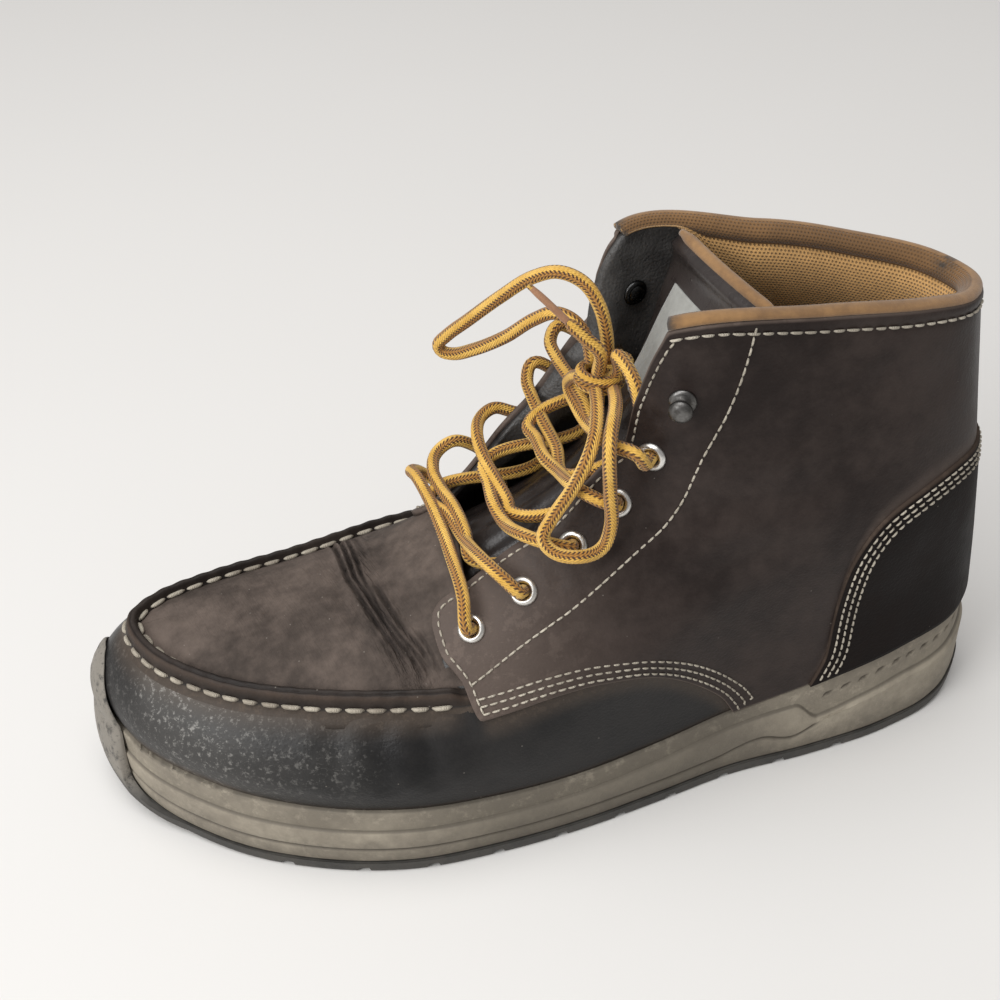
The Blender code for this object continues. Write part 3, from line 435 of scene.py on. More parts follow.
    def trace(self, table: Table, spacing: float, sign: int = 1) -> Array:
        """Read an edge drawn on the upper.

        Args:
            table: Rows of station and height.
            spacing: Distance over the surface between the points that come back.
            sign: 1 for the outer side, -1 for the inner.

        Returns:
            Rows of station and height.
        """
        order = np.arange(len(table))
        read = np.linspace(0, len(table) - 1, (len(table) - 1) * 30 + 1)
        values = np.array(table, float)
        line = np.stack([smooth(np.stack([order, values[:, k]], -1))(read) for k in (0, 1)], -1)
        line[:, 0] *= sign
        places = self.wall(line[:, 0], line[:, 1])
        return even(np.concatenate([line * 1e-6, places], 1), spacing)[:, :2] * 1e6

    def inset(self, line: Array, distance: float) -> Array:
        """Move a drawn line sideways over the surface.

        Args:
            line: Rows of station and height.
            distance: How far, to its left seen from outside.

        Returns:
            Rows of the moved line.
        """
        station, height = line.T
        step = 0.003
        along_t = (self.wall(station + step, height) - self.wall(station - step, height)) / (2 * step)
        along_h = (self.wall(station, height + step) - self.wall(station, height - step)) / (2 * step)
        path = np.gradient(self.wall(station, height), axis=0)
        side = unit(np.cross(self.normal(station, height), path)) * distance
        tt, hh = (along_t * along_t).sum(-1), (along_h * along_h).sum(-1)
        th = (along_t * along_h).sum(-1)
        a, b = (side * along_t).sum(-1), (side * along_h).sum(-1)
        size = tt * hh - th * th
        return line + np.stack([(a * hh - b * th) / size, (b * tt - a * th) / size], -1)

    def seat(self, place: Sequence[float], side: Side) -> tuple[Array, Array]:
        """Point and outward axis of a hole on one side."""
        station, height = np.array([place[0] * side.value]), np.array([place[1]])
        return self.wall(station, height)[0], self.normal(station, height)[0]


@dataclass(frozen=True)
class Crease:
    """A soft trough with low ridges beside it, drawn on the upper by station and height, in one or more parts."""

    depth: float
    width: float
    parts: tuple[Table, ...]
    level: float = 1.0

    def press(self, last: Last, points: Array) -> tuple[Array, Array]:
        """Work out how far the crease moves points.

        Args:
            last: Surface that the crease is drawn on.
            points: Points on it.

        Returns:
            Outward offset in millimetres and a mask of the trough for each point.
        """
        lines = np.concatenate([last.trace(part, 0.7) for part in self.parts])
        weight = np.array([1, 1, self.level])
        path = last.wall(lines[:, 0], lines[:, 1]) * weight
        flat = points.reshape(-1, 3) * weight
        apart = np.full(len(flat), 1e9)
        nearest = np.zeros(len(flat), int)
        for k, place in enumerate(path):
            far = ((flat - place) ** 2).sum(1)
            closer = far < apart
            apart[closer] = far[closer]
            nearest[closer] = k
        apart = np.sqrt(apart)
        share = nearest / (len(path) - 1)
        fade = np.minimum(1, np.minimum(share, 1 - share) * 5 + 0.15)
        trough = np.exp(-((apart / self.width) ** 2)) * fade
        ridge = np.exp(-(((apart - 2.1 * self.width) / (0.9 * self.width)) ** 2)) * fade
        offset = self.depth * (0.4 * ridge - trough)
        return offset.reshape(points.shape[:-1]), trough.reshape(points.shape[:-1])


@dataclass
class Surface:
    """Points and faces of a piece in boot millimetres, with values painted on its points."""

    points: Array
    faces: Faces
    paint: dict[str, Array] = field(default_factory=dict)
    uv: Array | None = None
    patch: Array | None = None
def grid_faces(rows: int, columns: int, start: int = 0, wrap: bool = False) -> Faces:
    """List the quads of a grid stored row by row.

    Args:
        rows: Number of rows.
        columns: Number of columns.
        start: Index of its first point.
        wrap: Whether the columns close to a ring.

    Returns:
        The quads.
    """
    reach = columns if wrap else columns - 1
    r, c = np.meshgrid(np.arange(rows - 1), np.arange(reach), indexing="ij")
    d = (c + 1) % columns
    a, b = start + r * columns, start + (r + 1) * columns
    return [tuple(face) for face in np.stack([a + c, a + d, b + d, b + c], -1).reshape(-1, 4).tolist()]


def joined(parts: Sequence[Surface]) -> Surface:
    """Make one surface of several.

    Args:
        parts: Surfaces, of which only points and faces are kept.

    Returns:
        The joined surface.
    """
    faces: Faces = []
    count = 0
    for part in parts:
        faces += [tuple(v + count for v in face) for face in part.faces]
        count += len(part.points)
    return Surface(np.concatenate([part.points for part in parts]), faces)


def sheet(outer: Array, inner: Array, paint: dict[str, Array] | None = None) -> Surface:
    """Close two grids of points over one another to a sheet with thickness.

    Args:
        outer: Grid of points, rows by columns.
        inner: Grid of the same shape under it.
        paint: Values on the outer grid, repeated on the inner.

    Returns:
        The closed surface.
    """
    rows, columns = outer.shape[:2]
    count = rows * columns
    faces = grid_faces(rows, columns)
    faces += [tuple(reversed(face)) for face in grid_faces(rows, columns, count)]
    index = np.arange(count).reshape(rows, columns)
    loop = np.r_[index[0, :-1], index[:-1, -1], index[-1, :0:-1], index[:0:-1, 0]]
    for a, b in zip(loop.tolist(), np.roll(loop, -1).tolist()):
        faces.append((b, a, a + count, b + count))
    doubled = {name: np.r_[v.ravel(), v.ravel()] for name, v in (paint or {}).items()}
    return Surface(np.r_[outer.reshape(-1, 3), inner.reshape(-1, 3)], faces, doubled)


def tube(path: Array, radius: Array | float, sides: int) -> Surface:
    """Round tube along a line of points, capped, with its own length and turn as coordinates.

    Args:
        path: Centres of the rings.
        radius: Radius, or one for each ring.
        sides: Number of sides.

    Returns:
        The closed surface.
    """
    tangent = unit(np.gradient(path, axis=0))
    normal = np.zeros_like(path)
    guess = np.array([0.3, 0.5, 0.8])
    normal[0] = unit(np.cross(tangent[0], guess))
    for k in range(1, len(path)):
        flat = normal[k - 1] - tangent[k] * (normal[k - 1] @ tangent[k])
        normal[k] = unit(flat)
    binormal = np.cross(tangent, normal)
    turn = np.linspace(0, 2 * math.pi, sides + 1)
    size = np.broadcast_to(np.asarray(radius, float), len(path))[:, None, None]
    ring = normal[:, None] * np.cos(turn)[None, :, None] + binormal[:, None] * np.sin(turn)[None, :, None]
    points = (path[:, None] + ring * size).reshape(-1, 3)
    uv = np.stack(np.broadcast_arrays(distances(path)[:, None], (turn / (2 * math.pi))[None]), -1).reshape(-1, 2)
    faces = grid_faces(len(path), sides + 1)
    end = (len(path) - 1) * (sides + 1)
    faces += [tuple(range(sides))[::-1], tuple(range(end, end + sides))]
    return Surface(points, faces, uv=uv)


def turned(profile: Table, seat: Array, axis: Array, segments: int) -> Surface:
    """Turn a profile about an axis.

    Args:
        profile: Rows of radius and height.
        seat: Point on the axis at height 0.
        axis: Direction of the axis.
        segments: Number of segments.

    Returns:
        The turned surface.
    """
    matrix = np.array(Vector(axis).to_track_quat("Z", "Y").to_matrix())
    angle = np.arange(segments) * 2 * math.pi / segments
    rows = []
    for radius, rise in profile:
        local = np.stack([radius * np.cos(angle), radius * np.sin(angle), np.full(segments, rise)], -1)
        rows.append(seat + local @ matrix.T)
    return Surface(np.concatenate(rows), grid_faces(len(profile), segments, wrap=True))


def relax(points: Array, faces: Faces, weight: Array, rounds: int) -> Array:
    """Average points with their neighbours, coincident points as one.

    Args:
        points: Points of a mesh.
        faces: Its faces.
        weight: Share of the way that each point moves in a round.
        rounds: Number of rounds.

    Returns:
        The moved points.
    """
    _, first, source = np.unique(np.round(points, 3), axis=0, return_index=True, return_inverse=True)
    source = source.ravel()
    share = np.zeros(len(first))
    share[source] = weight
    pairs = source[np.array([(f[k], f[(k + 1) % len(f)]) for f in faces for k in range(len(f))])]
    count = np.bincount(pairs.ravel(), minlength=len(first)).astype(float)
    places = points[first]
    for _ in range(rounds):
        total = np.zeros_like(places)
        np.add.at(total, pairs[:, 0], places[pairs[:, 1]])
        np.add.at(total, pairs[:, 1], places[pairs[:, 0]])
        places += (total / np.maximum(count, 1)[:, None] - places) * share[:, None]
    return places[source]


def linked(name: str, data: bpy.types.ID) -> Piece:
    """Add an object to the scene.

    Args:
        name: Its name.
        data: Mesh, camera or light.

    Returns:
        The object.
    """
    made = bpy.data.objects.new(name, data)
    bpy.context.scene.collection.objects.link(made)
    return made


def as_object(name: str, surface: Surface, sharp: float | None = None) -> Piece:
    """Make an object from a surface, with doubled points merged and normals outward.

    Args:
        name: Name of the piece.
        surface: Its shape.
        sharp: Angle in degrees past which an edge stays sharp, or None for all smooth.

    Returns:
        The new object, at the origin.
    """
    mesh = bpy.data.meshes.new(name)
    mesh.from_pydata(to_row(surface.points).tolist(), [], surface.faces)
    for key, values in surface.paint.items():
        layer = mesh.attributes.new(key, "FLOAT", "POINT")
        layer.data.foreach_set("value", np.asarray(values, np.float32))
    if surface.uv is not None:
        layer = mesh.uv_layers.new(name="lay")
        corners = np.zeros(len(mesh.loops), np.int32)
        mesh.loops.foreach_get("vertex_index", corners)
        layer.uv.foreach_set("vector", surface.uv[corners].astype(np.float32).ravel())
    if surface.patch is not None:
        mesh.polygons.foreach_set("material_index", np.asarray(surface.patch, np.int32))
    work = bmesh.new()
    work.from_mesh(mesh)
    bmesh.ops.remove_doubles(work, verts=work.verts, dist=0.00001)
    bmesh.ops.dissolve_degenerate(work, edges=work.edges, dist=0.000005)
    bmesh.ops.recalc_face_normals(work, faces=work.faces)
    work.to_mesh(mesh)
    work.free()
    mesh.polygons.foreach_set("use_smooth", np.ones(len(mesh.polygons), bool))
    if sharp is not None:
        mesh.set_sharp_from_angle(angle=math.radians(sharp))
    return linked(name, mesh)


def dress(made: Piece, slot: Slot | None, nodes: Sequence[str], *finishes: "Finish") -> Piece:
    """Finish a piece, set it on the body and let it stand for its solids.

    Args:
        made: The piece.
        slot: Material slot of the record, where it has one; not used.
        nodes: Solids that the piece stands for.
        finishes: Finishes, in the order of the piece's patches.

    Returns:
        The piece.
    """
    for finish in finishes:
        made.data.materials.append(finish.material())
    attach(made, BODY)
    if nodes:
        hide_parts(*nodes)
    LOG.info("piece %s stands for %s", made.name, ", ".join(nodes) or "no solid")
    return made


def cut(made: Piece, tool: Surface) -> None:
    """Cut a closed shape out of a piece.

    Args:
        made: The piece.
        tool: What is cut out.
    """
    cutter = as_object(f"{made.name}_cutter", tool)
    mod = made.modifiers.new("cut", "BOOLEAN")
    mod.operation = "DIFFERENCE"
    mod.solver = "EXACT"
    mod.object = cutter
    graph = bpy.context.evaluated_depsgraph_get()
    mesh = bpy.data.meshes.new_from_object(made.evaluated_get(graph))
    made.modifiers.clear()
    old = made.data
    made.data = mesh
    bpy.data.meshes.remove(old)
    bpy.data.objects.remove(cutter, do_unlink=True)


class Graph:
    """Shader nodes of one material or group, added by kind."""

    def __init__(self, tree: bpy.types.NodeTree) -> None:
        """Start on a node tree."""
        self.tree = tree

    def put(self, target: Socket, value: Value) -> None:
        """Link a socket to an input, or set the input's value.

        Args:
            target: The input.
            value: Socket, number, vector or colour.
        """
        if isinstance(value, Socket):
            self.tree.links.new(value, target)
        else:
            target.default_value = (*value, 1) if target.type == "RGBA" else value

    def shade(self, values: dict[str, Value]) -> None:
        """Link or set inputs of the material's shader.

        Args:
            values: What goes to each input.
        """
        shader = self.tree.nodes["Principled BSDF"].inputs
        for key, value in values.items():
            self.put(shader[key], value)

    def add(self, kind: str, inputs: dict | None = None, **settings: object) -> bpy.types.Node:
        """Add a node.

        Args:
            kind: Node type without its common prefix.
            inputs: Values or sockets for its inputs, by name or number.
            settings: Properties of the node.

        Returns:
            The node.
        """
        node = self.tree.nodes.new("ShaderNode" + kind)
        for key, value in settings.items():
            setattr(node, key, value)
        for key, value in (inputs or {}).items():
            self.put(node.inputs[key], value)
        return node

    def mix(self, share: Value, first: Value, second: Value) -> Socket:
        """Mix two colours."""
        return self.add("Mix", {0: share, 6: first, 7: second}, data_type="RGBA").outputs[2]

    def math(self, operation: str, first: Value, second: Value = 0.0) -> Socket:
        """Work out one number from two."""
        return self.add("Math", {0: first, 1: second}, operation=operation).outputs[0]

    def times(self, first: Value, second: Value) -> Socket:
        """Multiply two numbers."""
        return self.math("MULTIPLY", first, second)

    def plus(self, first: Value, second: Value) -> Socket:
        """Add two numbers."""
        return self.math("ADD", first, second)

    def remap(self, value: Socket, low: float, high: float, to_low: float = 0.0, to_high: float = 1.0) -> Socket:
        """Stretch a range of values to another, held at its ends."""
        values = {"Value": value, "From Min": low, "From Max": high, "To Min": to_low, "To Max": to_high}
        return self.add("MapRange", values, interpolation_type="SMOOTHSTEP").outputs["Result"]

    def noise(self, vector: Socket, scale: Value, detail: float = 4.0, roughness: float = 0.55) -> Socket:
        """Noise as a number from 0 to 1."""
        values = {"Vector": vector, "Scale": scale, "Detail": detail, "Roughness": roughness}
        return self.add("TexNoise", values).outputs["Fac"]

    def cells(self, vector: Socket, scale: Value, feature: str = "F1") -> bpy.types.Node:
        """Cells as a node with their distance and colour."""
        return self.add("TexVoronoi", {"Vector": vector, "Scale": scale}, feature=feature)

    def mapped(self, vector: Socket, **change: Value) -> Socket:
        """Coordinates turned or stretched."""
        return self.add("Mapping", {"Vector": vector, **change}).outputs[0]

    def painted(self, name: str) -> Socket:
        """Value painted on the points of a piece."""
        return self.add("Attribute", attribute_name=name).outputs["Fac"]

    def soil(self, at: Socket, scale: float) -> Socket:
        """Painted dirt, broken up by noise."""
        return self.times(self.painted("dirt"), self.remap(self.noise(at, scale, 5), 0.35, 0.6))

    def tone(self, at: Socket, scale: float, fine: float, low: Colour, high: Colour) -> list[Socket]:
        """Uneven tone between two colours, and its mask."""
        return list(Effect.MOTTLE.place(self, Vector=at, Scale=scale, Fine=fine, Low=low, High=high))

    def bump(self, height: Socket, depth_mm: float) -> Socket:
        """Normal from a height of a depth in millimetres."""
        return self.add("Bump", {"Height": height, "Distance": depth_mm * MM, "Strength": 1}).outputs[0]

    def place(self) -> Socket:
        """Place on the boot, in metres."""
        return self.add("TexCoord").outputs["Object"]

    def laid(self) -> list[Socket]:
        """A piece's own coordinates, along and across."""
        lay = self.add("UVMap", uv_map="lay").outputs["UV"]
        return list(self.add("SeparateXYZ", {0: lay}).outputs)[:2]


class Effect(Enum):
    """Surface effects shared by the finishes, each a shader node group."""

    GRAIN = "leather_grain"
    MOTTLE = "uneven_tone"
    SPECKS = "dust_specks"
    SCUFF = "scuff_marks"
    GRIME = "low_grime"
    FOLDS = "fine_folds"

    def group(self) -> bpy.types.NodeTree:
        """Find the effect's group.

        Returns:
            The group, built the first time it is asked for.
        """
        if self.value not in bpy.data.node_groups:
            getattr(EffectBench(self.value), self.name.lower())()
        return bpy.data.node_groups[self.value]

    def place(self, graph: Graph, **inputs: Value) -> bpy.types.bpy_prop_collection:
        """Put the effect in a material with its own values.

        Args:
            graph: Nodes of the material.
            inputs: Values or sockets by input name.

        Returns:
            The group node's outputs.
        """
        node = graph.add("Group", node_tree=self.group())
        for key, value in inputs.items():
            graph.put(node.inputs[key], value)
        return node.outputs


class EffectBench:
    """Builds the shared node groups."""

    def __init__(self, name: str) -> None:
        """Start an empty group."""
        self.tree = bpy.data.node_groups.new(name, "ShaderNodeTree")
        self.graph = Graph(self.tree)

    def given(self, **kinds: str) -> list[Socket]:
        """Name the group's inputs.

        Args:
            kinds: Socket type by name.

        Returns:
            The sockets, in that order.
        """
        for name, kind in kinds.items():
            self.tree.interface.new_socket(name, in_out="INPUT", socket_type="NodeSocket" + kind)
        start = self.tree.nodes.new("NodeGroupInput")
        return [start.outputs[name] for name in kinds]

    def give(self, **results: Socket) -> None:
        """Name the group's outputs and link them.

        Args:
            results: What each output carries, by name.
        """
        for name in results:
            kind = "NodeSocketColor" if name == "Color" else "NodeSocketFloat"
            self.tree.interface.new_socket(name, in_out="OUTPUT", socket_type=kind)
        end = self.tree.nodes.new("NodeGroupOutput")
        for name, value in results.items():
            self.graph.put(end.inputs[name], value)

    def grain(self) -> None:
        """Pebbled grain with fine pores, as a height."""
        g = self.graph
        at, scale, wrinkle = self.given(Vector="Vector", Scale="Float", Wrinkle="Float")
        warp = g.add("TexNoise", {"Vector": at, "Scale": 320, "Detail": 2}).outputs["Color"]
        bent = g.add("VectorMath", {0: warp, "Scale": 0.0012}, operation="SCALE").outputs[0]
        moved = g.add("VectorMath", {0: at, 1: bent}, operation="ADD").outputs[0]
        pebble = g.times(g.cells(moved, scale, "SMOOTH_F1").outputs["Distance"], 0.7)
        pore = g.times(g.noise(at, 5200, 2), 0.25)
        folds = g.times(g.noise(moved, 420, 5, 0.62), wrinkle)
        self.give(Height=g.plus(g.plus(pebble, pore), folds))

    def mottle(self) -> None:
        """Uneven tone between two colours."""
        g = self.graph
        at, scale, low, high, fine = self.given(
            Vector="Vector", Scale="Float", Low="Color", High="Color", Fine="Float"
        )
        broad = g.times(g.noise(at, scale, 3), 0.62)
        close = g.times(g.noise(at, fine, 6, 0.65), 0.38)
        mask = g.remap(g.plus(broad, close), 0.34, 0.68)
        self.give(Color=g.mix(mask, low, high), Mask=mask)

    def specks(self) -> None:
        """Sparse specks of dust, as a mask."""
        g = self.graph
        at, scale, amount = self.given(Vector="Vector", Scale="Float", Amount="Float")
        cells = g.cells(at, scale).outputs
        near = g.remap(cells["Distance"], 0.03, 0.2, 1, 0)
        pick = g.add("SeparateColor", {0: cells["Color"]}).outputs[0]
        self.give(Mask=g.times(near, g.math("LESS_THAN", pick, amount)))

    def scuff(self) -> None:
        """Broken rubs and fine scratches, as a mask."""
        g = self.graph
        at, scale = self.given(Vector="Vector", Scale="Float")
        rub = g.remap(g.noise(at, scale, 8, 0.72), 0.5, 0.66)
        scratch = g.remap(g.noise(g.mapped(at, Scale=(1, 5, 7)), 260, 3, 0.6), 0.62, 0.7)
        self.give(Mask=g.math("MAXIMUM", rub, g.times(scratch, 0.5)))

    def folds(self) -> None:
        """Fine folds that run across the forefoot, as a height."""
        g = self.graph
        at, turn = self.given(Vector="Vector", Turn="Vector")
        fold = g.noise(g.mapped(g.mapped(at, Rotation=turn), Scale=(1, 0.1, 0.25)), 520, 4, 0.6)
        self.give(Height=g.math("ABSOLUTE", g.math("SUBTRACT", fold, 0.5)))

    def grime(self) -> None:
        """Dirt gathered below a height, broken up by noise, as a mask."""
        g = self.graph
        at, low, high, scale = self.given(Vector="Vector", Low="Float", High="Float", Scale="Float")
        z = g.add("SeparateXYZ", {0: at}).outputs["Z"]
        share = g.math("DIVIDE", g.math("SUBTRACT", high, z), g.math("SUBTRACT", high, low))
        broken = g.times(g.noise(at, scale, 6, 0.65), 1.2)
        self.give(Mask=g.remap(g.plus(share, broken), 0.7, 1.4))


@dataclass(frozen=True)
class Finish:
    """A named finish; its nodes are built once."""

    name: str

    def material(self) -> bpy.types.Material:
        """Make the finish a material.

        Returns:
            The material, built the first time it is asked for.
        """
        found = bpy.data.materials.get("look_" + self.name)
        if not found:
            found = bpy.data.materials.new("look_" + self.name)
            found.use_nodes = True
            self.build()
        return found

    def graph(self) -> Graph:
        """Nodes of the finish's material."""
        return Graph(bpy.data.materials["look_" + self.name].node_tree)

    def build(self) -> None:
        """Join the finish's nodes to the shader."""
        raise NotImplementedError


@dataclass(frozen=True)
class Leather(Finish):
    """Oiled leather with grain, uneven tone, rubbed edges, scuffs and dust, with painted sheen in the rubs and edges
    and painted shade in creases.
    """

    low: Colour
    high: Colour
    # Colour of rubbed edges, and of the painted sheen on the quarter's front
    edge: Colour = (0.11, 0.075, 0.055)
    # Colour of scuffs and of painted sheen
    pale: Colour = (0.3, 0.29, 0.27)
    # Colour of painted shade in creases and crevices
    deep: Colour = (0.012, 0.009, 0.008)
    dust_colour: Colour = (0.34, 0.31, 0.27)
    roughness: float = 0.5
    coat: float = 0.0
    shine: float = 0.5
    scuff: float = 150.0
    pebble: float = 1100.0
    depth: float = 0.12
    wrinkle: float = 0.6
    dust: float = 0.012
    dust_scale: float = 620.0

    def build(self) -> None:
        """Join the finish's nodes to the shader."""
        g = self.graph()
        at = g.place()
        tone, mask = g.tone(at, 26, 170, self.low, self.high)
        scuff = Effect.SCUFF.place(g, Vector=at, Scale=self.scuff)[0]
        specks = Effect.SPECKS.place(g, Vector=at, Scale=self.dust_scale, Amount=self.dust)[0]
        grain = Effect.GRAIN.place(g, Vector=at, Scale=self.pebble, Wrinkle=self.wrinkle)[0]
        folds = Effect.FOLDS.place(g, Vector=at, Turn=(0, 0, -0.36))[0]
        folds = g.times(folds, g.times(g.painted("fold"), 24))
        # Painted sheen: the rubs paint lightens smoothly towards the pale colour, with scuffs on top
        rubs_and_sheen = g.times(g.painted("wear"), g.remap(scuff, 0, 1, 0.14, 0.8))
        # The edge paint: rubbed edges, brown bands and a painted sheen on the quarter's front
        rubbed = g.times(g.painted("edge"), g.remap(scuff, 0, 0.6, 0.72, 1))
        colour = g.mix(rubbed, tone, self.edge)
        # Painted shade: the crease paint darkens creases and crevices towards the deep colour
        colour = g.mix(g.times(g.painted("crease"), 0.75), colour, self.deep)
        colour = g.mix(rubs_and_sheen, colour, self.pale)
        rough = g.plus(g.times(mask, 0.16), self.roughness - 0.08)
        g.shade({
            "Base Color": g.mix(g.times(specks, 0.55), colour, self.dust_colour),
            "Roughness": g.plus(rough, g.times(rubbed, 0.2)),
            "Normal": g.bump(g.plus(grain, folds), self.depth),
            "Specular IOR Level": self.shine, "Coat Weight": self.coat, "Coat Roughness": 0.32,
        })


@dataclass(frozen=True)
class MeshFabric(Finish):
    """Padded spacer mesh: rows of small open cells in a knitted face."""

    thread: Colour
    hole: Colour
    cell: float = 1.5
    open: float = 1.0

    def build(self) -> None:
        """Join the finish's nodes to the shader."""
        g = self.graph()
        along, across = g.laid()
        v = g.math("DIVIDE", across, self.cell * 0.8)
        shift = g.times(g.math("PINGPONG", g.math("FLOOR", v), 1), 0.5)
        u = g.plus(g.math("DIVIDE", along, self.cell), shift)
        squares = [g.math("POWER", g.math("SUBTRACT", g.math("FRACT", c), 0.5), 2) for c in (u, v)]
        dent = g.times(g.remap(g.math("SQRT", g.plus(*squares)), 0.12, 0.4, 1, 0), self.open)
        at = g.place()
        tone, _ = g.tone(at, 30, 240, tuple(0.72 * c for c in self.thread), self.thread)
        colour = g.mix(g.times(dent, 0.85), tone, self.hole)
        height = g.math("SUBTRACT", g.times(g.noise(at, 3800, 2), 0.25), dent)
        g.shade({
            "Base Color": g.mix(g.soil(at, 300), colour, (0.05, 0.038, 0.028)), "Roughness": 0.92,
            "Normal": g.bump(height, 0.35), "Sheen Weight": 0.25, "Sheen Roughness": 0.5,
        })


@dataclass(frozen=True)
class Suede(Finish):
    """Napped binding with rubbed places."""

    colour: Colour
    dark: Colour

    def build(self) -> None:
        """Join the finish's nodes to the shader."""
        g = self.graph()
        at = g.place()
        tone, _ = g.tone(at, 60, 420, self.dark, self.colour)
        g.shade({
            "Base Color": g.mix(g.soil(at, 260), tone, (0.03, 0.024, 0.02)), "Roughness": 0.88,
            "Normal": g.bump(g.noise(at, 3000, 3), 0.12), "Sheen Weight": 0.3,
        })


@dataclass(frozen=True)
class Rubber(Finish):
    """Moulded rubber or foam with dirt rubbed into it, painted shade in its moulded lines and painted light on the toe
    bumper.
    """

    colour: Colour
    light: Colour
    dirt: Colour
    roughness: float
    low: float
    high: float
    streak: float = 0.4

    def build(self) -> None:
        """Join the finish's nodes to the shader."""
        g = self.graph()
        at = g.place()
        tone, mask = g.tone(at, 34, 230, self.colour, self.light)
        grime = Effect.GRIME.place(g, Vector=at, Low=self.low, High=self.high, Scale=120)[0]
        scuff = Effect.SCUFF.place(g, Vector=at, Scale=210)[0]
        colour = g.mix(g.times(grime, 0.5), tone, self.dirt)
        colour = g.mix(g.times(scuff, self.streak), colour, self.light)
        # The groove paint: painted shade in the midsole's moulded lines and slots, and a darker waist
        colour = g.mix(g.times(g.painted("groove"), 0.8), colour, self.dirt)
        g.shade({
            # The rim paint: glue crust and the band above the upper line on the midsole, painted light on the toe
            # bumper
            "Base Color": g.mix(g.painted("rim"), colour, g.mix(scuff, self.dirt, tone)),
            "Roughness": g.remap(mask, 0, 1, self.roughness - 0.08, self.roughness + 0.1),
            "Normal": g.bump(g.plus(g.noise(at, 900, 5, 0.6), g.times(scuff, -0.4)), 0.16),
        })


@dataclass(frozen=True)
class Metal(Finish):
    """Plated metal, rubbed and a little tarnished."""

    colour: Colour
    tarnish: Colour
    roughness: float

    def build(self) -> None:
        """Join the finish's nodes to the shader."""
        g = self.graph()
        at = g.place()
        tone, mask = g.tone(at, 180, 900, self.tarnish, self.colour)
        g.shade({
            "Base Color": tone, "Roughness": g.remap(mask, 0, 1, self.roughness + 0.18, self.roughness),
            "Metallic": 1, "Normal": g.bump(g.noise(at, 1400, 3), 0.03),
        })


@dataclass(frozen=True)
class Braid(Finish):
    """Round braided lace: golden bands between rust ones, edged with dark ticks."""

    gold: Colour
    pale: Colour
    fleck: Colour
    rust: Colour
    pitch: float = 1.25
    bands: float = 3.0

    def build(self) -> None:
        """Join the finish's nodes to the shader."""
        g = self.graph()
        along, turn = g.laid()
        twist = g.plus(turn, g.times(along, 0.003))
        band = g.math("PINGPONG", g.times(twist, self.bands * 2), 1)
        tick = g.math("FRACT", g.plus(g.math("DIVIDE", along, self.pitch), g.times(band, 1.3)))
        side = g.times(g.remap(band, 0.36, 0.44), g.remap(band, 0.98, 0.8))
        dark = g.times(g.remap(tick, 0.42, 0.56), side)
        wave = g.math("SINE", g.times(along, 2 * math.pi / 1.1))
        strand = g.math("PINGPONG", g.plus(g.times(turn, 16), g.math("DIVIDE", along, 1.3)), 0.5)
        tone, _ = g.tone(g.place(), 90, 900, self.gold, self.pale)
        colour = g.mix(g.times(g.remap(band, 0.5, 0.68), 0.8), tone, self.rust)
        colour = g.mix(dark, colour, self.fleck)
        seams = g.remap(strand, 0, 0.12, 0.55, 0)
        g.shade({
            "Base Color": g.mix(seams, colour, tuple(0.35 * c for c in self.gold)), "Roughness": 0.72,
            "Normal": g.bump(g.plus(strand, g.times(wave, 0.12)), 0.4), "Sheen Weight": 0.2,
        })


@dataclass(frozen=True)
class Thread(Finish):
    """Twisted sewing thread, soiled in places."""

    colour: Colour
    soiled: Colour

    def build(self) -> None:
        """Join the finish's nodes to the shader."""
        g = self.graph()
        at = g.place()
        ply = g.add("TexWave", {"Vector": at, "Scale": 900, "Distortion": 1}, bands_direction="DIAGONAL")
        tone, _ = g.tone(at, 45, 500, self.soiled, self.colour)
        g.shade({"Base Color": tone, "Roughness": 0.8, "Normal": g.bump(ply.outputs["Fac"], 0.12)})


@dataclass(frozen=True)
class Felt(Finish):
    """Footbed cover: short plain cloth, darkened with use."""

    colour: Colour

    def build(self) -> None:
        """Join the finish's nodes to the shader."""
        g = self.graph()
        at = g.place()
        tone, _ = g.tone(at, 22, 300, tuple(0.5 * c for c in self.colour), self.colour)
        weave = g.add("TexWave", {"Vector": at, "Scale": 420, "Distortion": 0.6}).outputs["Fac"]
        g.shade({"Base Color": tone, "Roughness": 0.95, "Normal": g.bump(g.plus(weave, g.noise(at, 2500)), 0.2)})


@dataclass(frozen=True)
class Ground(Finish):
    """Plain pale table top, with the faintest unevenness."""

    colour: Colour

    def build(self) -> None:
        """Join the finish's nodes to the shader."""
        g = self.graph()
        cloud = g.noise(g.place(), 3, 2)
        g.shade({"Base Color": g.mix(cloud, tuple(0.97 * c for c in self.colour), self.colour), "Roughness": 0.55})


VAMP_LEATHER = Leather(
    "vamp", (0.0105, 0.0102, 0.0105), (0.024, 0.0225, 0.022), edge=(0.098, 0.074, 0.056), roughness=0.42, shine=0.2,
    dust=0.02, scuff=520
)
APRON_LEATHER = Leather(
    "apron", (0.042, 0.0325, 0.027), (0.14, 0.109, 0.0915), roughness=0.78, shine=0.2, pebble=900, depth=0.16,
    wrinkle=0.9, dust=0.05
)
